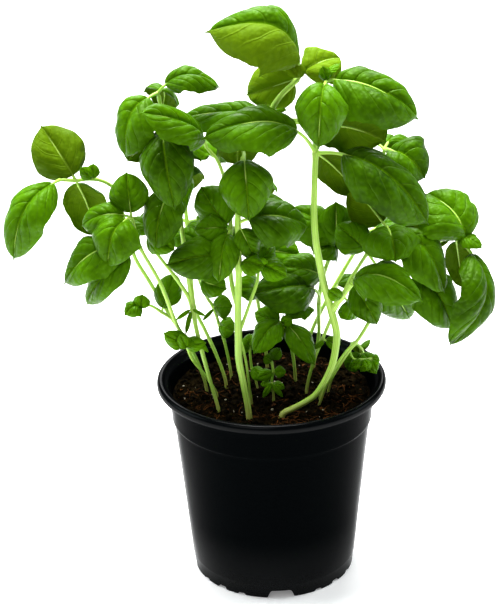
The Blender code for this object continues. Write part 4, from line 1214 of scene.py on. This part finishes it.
def stalk_tube(name, leaf, curve, tone):
    """The bare stalk, which runs on under the blade as its raised midrib."""
    end = leaf.stalk + (1 - leaf.stalk) * RIB_REACH
    count = 24 if leaf.wide > 12 else 12
    s = np.linspace(0, end, count)
    point, _, normal = midrib(curve, s)
    root_radius = min(1.05, 0.42 + leaf.wide / 58.0)
    radii = np.interp(s, [0, leaf.stalk * 0.3, leaf.stalk, end],
                      [root_radius * 1.15, root_radius, root_radius * 0.85, 0.16])
    under = np.clip((s - leaf.stalk * 0.7) / (leaf.stalk * 0.5 + 0.05), 0, 1)
    size = min(1.0, leaf.wide / FULL_WIDTH)
    line = point - normal * (under * (RIB_GROOVE * size + 0.12 + 0.55 * radii))[:, None]
    return rolled(name, line, radii, (8, 24) if leaf.wide > 12 else (6, 12), 0.0, tone)


print("raised midribs run to", RIB_REACH, "of a blade")

# %% [markdown]
# ### Small growth
# Between the big leaves hang withered scraps, thin side stems rise from the
# soil, and a limp tuft leans by the rim. They are too small for the plain frame,
# so they are planned here, in the same words as the big leaves, and each joins
# the shoot that it stands beside.

# %% Table of small growth
def stub(base, end, thick, *leaves, cup=40):
    """A stub of a stem with small leaves, each of them a tip, a width and an arch."""
    return Stem([base, end], thick, 0.5,
                [Leaf(1, tip, wide, FRONT, cup, arch) for tip, wide, arch in leaves])


TINY_GROWTH = {
    "shoot_tall_left": [
        stub((-43, -12, 166), (-43.5, -14, 166.5), 0.7, ((-52, -16, 161), 2.4, 0.15),
             ((-47, -17, 153), 2.8, 0.10), ((-36, -16, 163), 2.0, 0.15)),
        stub((-40, -16, 149), (-40.5, -18, 149.5), 0.6, ((-47, -20, 146), 2.2, 0.12),
             ((-35, -20, 143), 2.6, 0.12)),
    ],
    "shoot_mid_left": [
        stub((-32, 10, 157), (-31.5, 8, 157), 0.6, ((-25, 5, 151), 2.6, 0.12),
             ((-38, 5, 151), 2.2, 0.12)),
    ],
    "shoot_right": [
        stub((29, -5, 143), (30, -7, 143), 0.7, ((39, -9, 145), 3.4, 0.12),
             ((37, -10, 137), 3.0, 0.12), ((24, -10, 139), 3.0, 0.12)),
    ],
    "shoot_centre": [
        Stem([(-11, -15, 105), (-12.5, -15.5, 118), (-14, -17, 134), (-16, -21, 147),
              (-17.8, -24.5, 154)], 0.75, 0.6, []),
    ],
    "shoot_far_right": [
        Stem([(25.5, -17, 105), (29, -17.5, 116), (34, -18, 129), (41, -15.5, 139),
              (48, -10.7, 144.4)], 0.75, 0.6, []),
        Stem([(31.5, -1, 105), (34, -2.5, 116), (39, -4.5, 128), (43.5, -9, 137.5)],
             0.7, 0.55, []),
        Stem([(46, -5, 140), (44, -7, 137), (46, -9, 132), (51, -8, 131),
              (56, -5, 130)], 0.6, 0.45, [
            Leaf(4, (59, -7, 123), 8, FRONT, 60, 0.3),
            Leaf(4, (50, -9, 124), 9, (-0.4, -1, 0.2), 65, 0.3),
            Leaf(3, (44, -9, 126), 7, (-0.5, -1, 0.4), 60, 0.3),
            Leaf(3, (54, -10, 127), 6, (0.4, -1, 0.6), 60, 0.3),
            Leaf(4, (61, -3, 128), 7, (0.5, -0.6, 0.6), 60, 0.3)]),
    ],
    "shoot_low_centre": [
        stub((8, 3, 145), (7, 1, 146), 0.7, ((1, -5, 150), 5, 0.2), ((14, -5, 147), 5, 0.2),
             cup=30),
    ],
    "seedling_front": [
        stub((0, -8, 117), (0, -9, 118), 0.6, ((-5, -15, 112), 3.4, 0.2),
             ((6, -15, 112), 3.2, 0.2), cup=30),
    ],
}

print("small stems:", sum(len(stems) for stems in TINY_GROWTH.values()))

# %% [markdown]
# ### Stems
# A basil stem is squarish, swells a little at each node and is slimmer at the
# soil than higher up. A tapered cylinder would miss that, so the strip is
# rolled up to a radius that changes along its line.

# %% One stem
FOOT_SHARE = 0.70  # how thick a stem is at the soil, beside what it is higher up
FOOT_HEIGHT = 62.0  # mm over which it fills out
NODE_SWELL = 0.22
NODE_REACH = 2.6  # mm
BLUNTNESS = 0.06  # how far from round a stem is


def stem_tube(name, stem, rooted):
    """A stem, squarish in section, thicker where leaves leave it."""
    path = list(stem.path)
    if rooted:
        x, y, _ = path[0]
        path = [(x, y, SOIL_LEVEL - PLANTING_DEPTH + 1.5)] + path
    strip = (16, 90) if rooted and len(path) > 5 else (12, 40)
    line = smooth_line(path, strip[1] + 1)
    share = np.linspace(0, 1, len(line))
    radii = stem.thick + (stem.thin - stem.thick) * share
    for leaf in stem.leaves:
        knot = np.array(stem.path[leaf.node])
        away = np.linalg.norm(line - knot, axis=1)
        radii = np.maximum(radii, (stem.thick + (stem.thin - stem.thick) * share)
                           * (1 + NODE_SWELL * np.exp(-(away / NODE_REACH) ** 2)))
    if rooted:
        height = np.clip((line[:, 2] - SOIL_LEVEL) / FOOT_HEIGHT, 0, 1)
        radii *= FOOT_SHARE + (1 - FOOT_SHARE) * height ** 2 * (3 - 2 * height)
    radii[-1] *= 0.45
    return rolled(name, line, radii, strip, BLUNTNESS, 0.5)


print("stems fill out over", FOOT_HEIGHT, "mm")

# %% [markdown]
# ### A whole shoot
# All blades of a shoot are joined before Solidify, so that one modifier gives
# each of them its thickness and its paler underside. The tubes are sewn shut
# and join them, and the shoot is one piece, as it is in the plain frame.

# %% Building one shoot
PHASE_STEP = 1.3  # sets the wave of each leaf apart from the last one
GROWN_TONE = 0.22
YOUNG_TONE = 0.40  # added to that in the smallest leaves
TONE_SPREAD = 0.20
GROWN_WIDTH = 26  # mm


def build_shoot(name, stems, number):
    """All stems and leaves of one shoot as one piece; its leaves count on from number."""
    tubes, blade_list = [], []
    for order, stem in enumerate(stems):
        tubes.append(stem_tube(f"{name}_stem_{order}", stem, order == 0))
        for leaf in stem.leaves:
            curve = bow(leaf, stem.path[leaf.node])
            young = max(0.0, 1 - leaf.wide / GROWN_WIDTH)
            tone = GROWN_TONE + YOUNG_TONE * young + random.uniform(-TONE_SPREAD, TONE_SPREAD)
            # A listed tone is partly the leaf's own colour and partly painted light and shade.
            if leaf.tone is not None:
                tone = leaf.tone
            blade_list.append(bent_blade(f"{name}_blade_{number}", leaf, curve,
                                         PHASE_STEP * number, tone))
            tubes.append(stalk_tube(f"{name}_stalk_{number}", leaf, curve, tone))
            number += 1
    tube = join(f"{name}_tubes", tubes)
    close_tubes(tube)
    tube.data.materials.append(stem_skin)
    leaves = join(f"{name}_blades", blade_list)
    shell = leaves.modifiers.new("thickness", "SOLIDIFY")
    shell.thickness = BLADE_THICKNESS * MM
    shell.offset = 0.0
    shell.material_offset = UNDERSIDE
    shell.material_offset_rim = 0
    apply_all(leaves)
    piece = join(f"{name}_foliage", [leaves, tube])
    only(piece)
    bpy.ops.object.shade_smooth_by_angle(angle=math.radians(55))
    finish_piece(piece, "basil_green", name)


leaf_number = 0
for shoot_name, shoot_stems in SHOOTS.items():
    small_growth = TINY_GROWTH.get(shoot_name, [])
    build_shoot(shoot_name, shoot_stems + small_growth, leaf_number)
    leaf_number += sum(len(stem.leaves) for stem in shoot_stems)
print(leaf_number, "leaves of the plain frame, refined")

# %% Putting the patterns away
for pattern in list(strips.values()) + list(blades.values()):
    bpy.data.objects.remove(pattern)
print("patterns removed")

# %% [markdown]
# ## Done

# %% Finish
print("scene built")
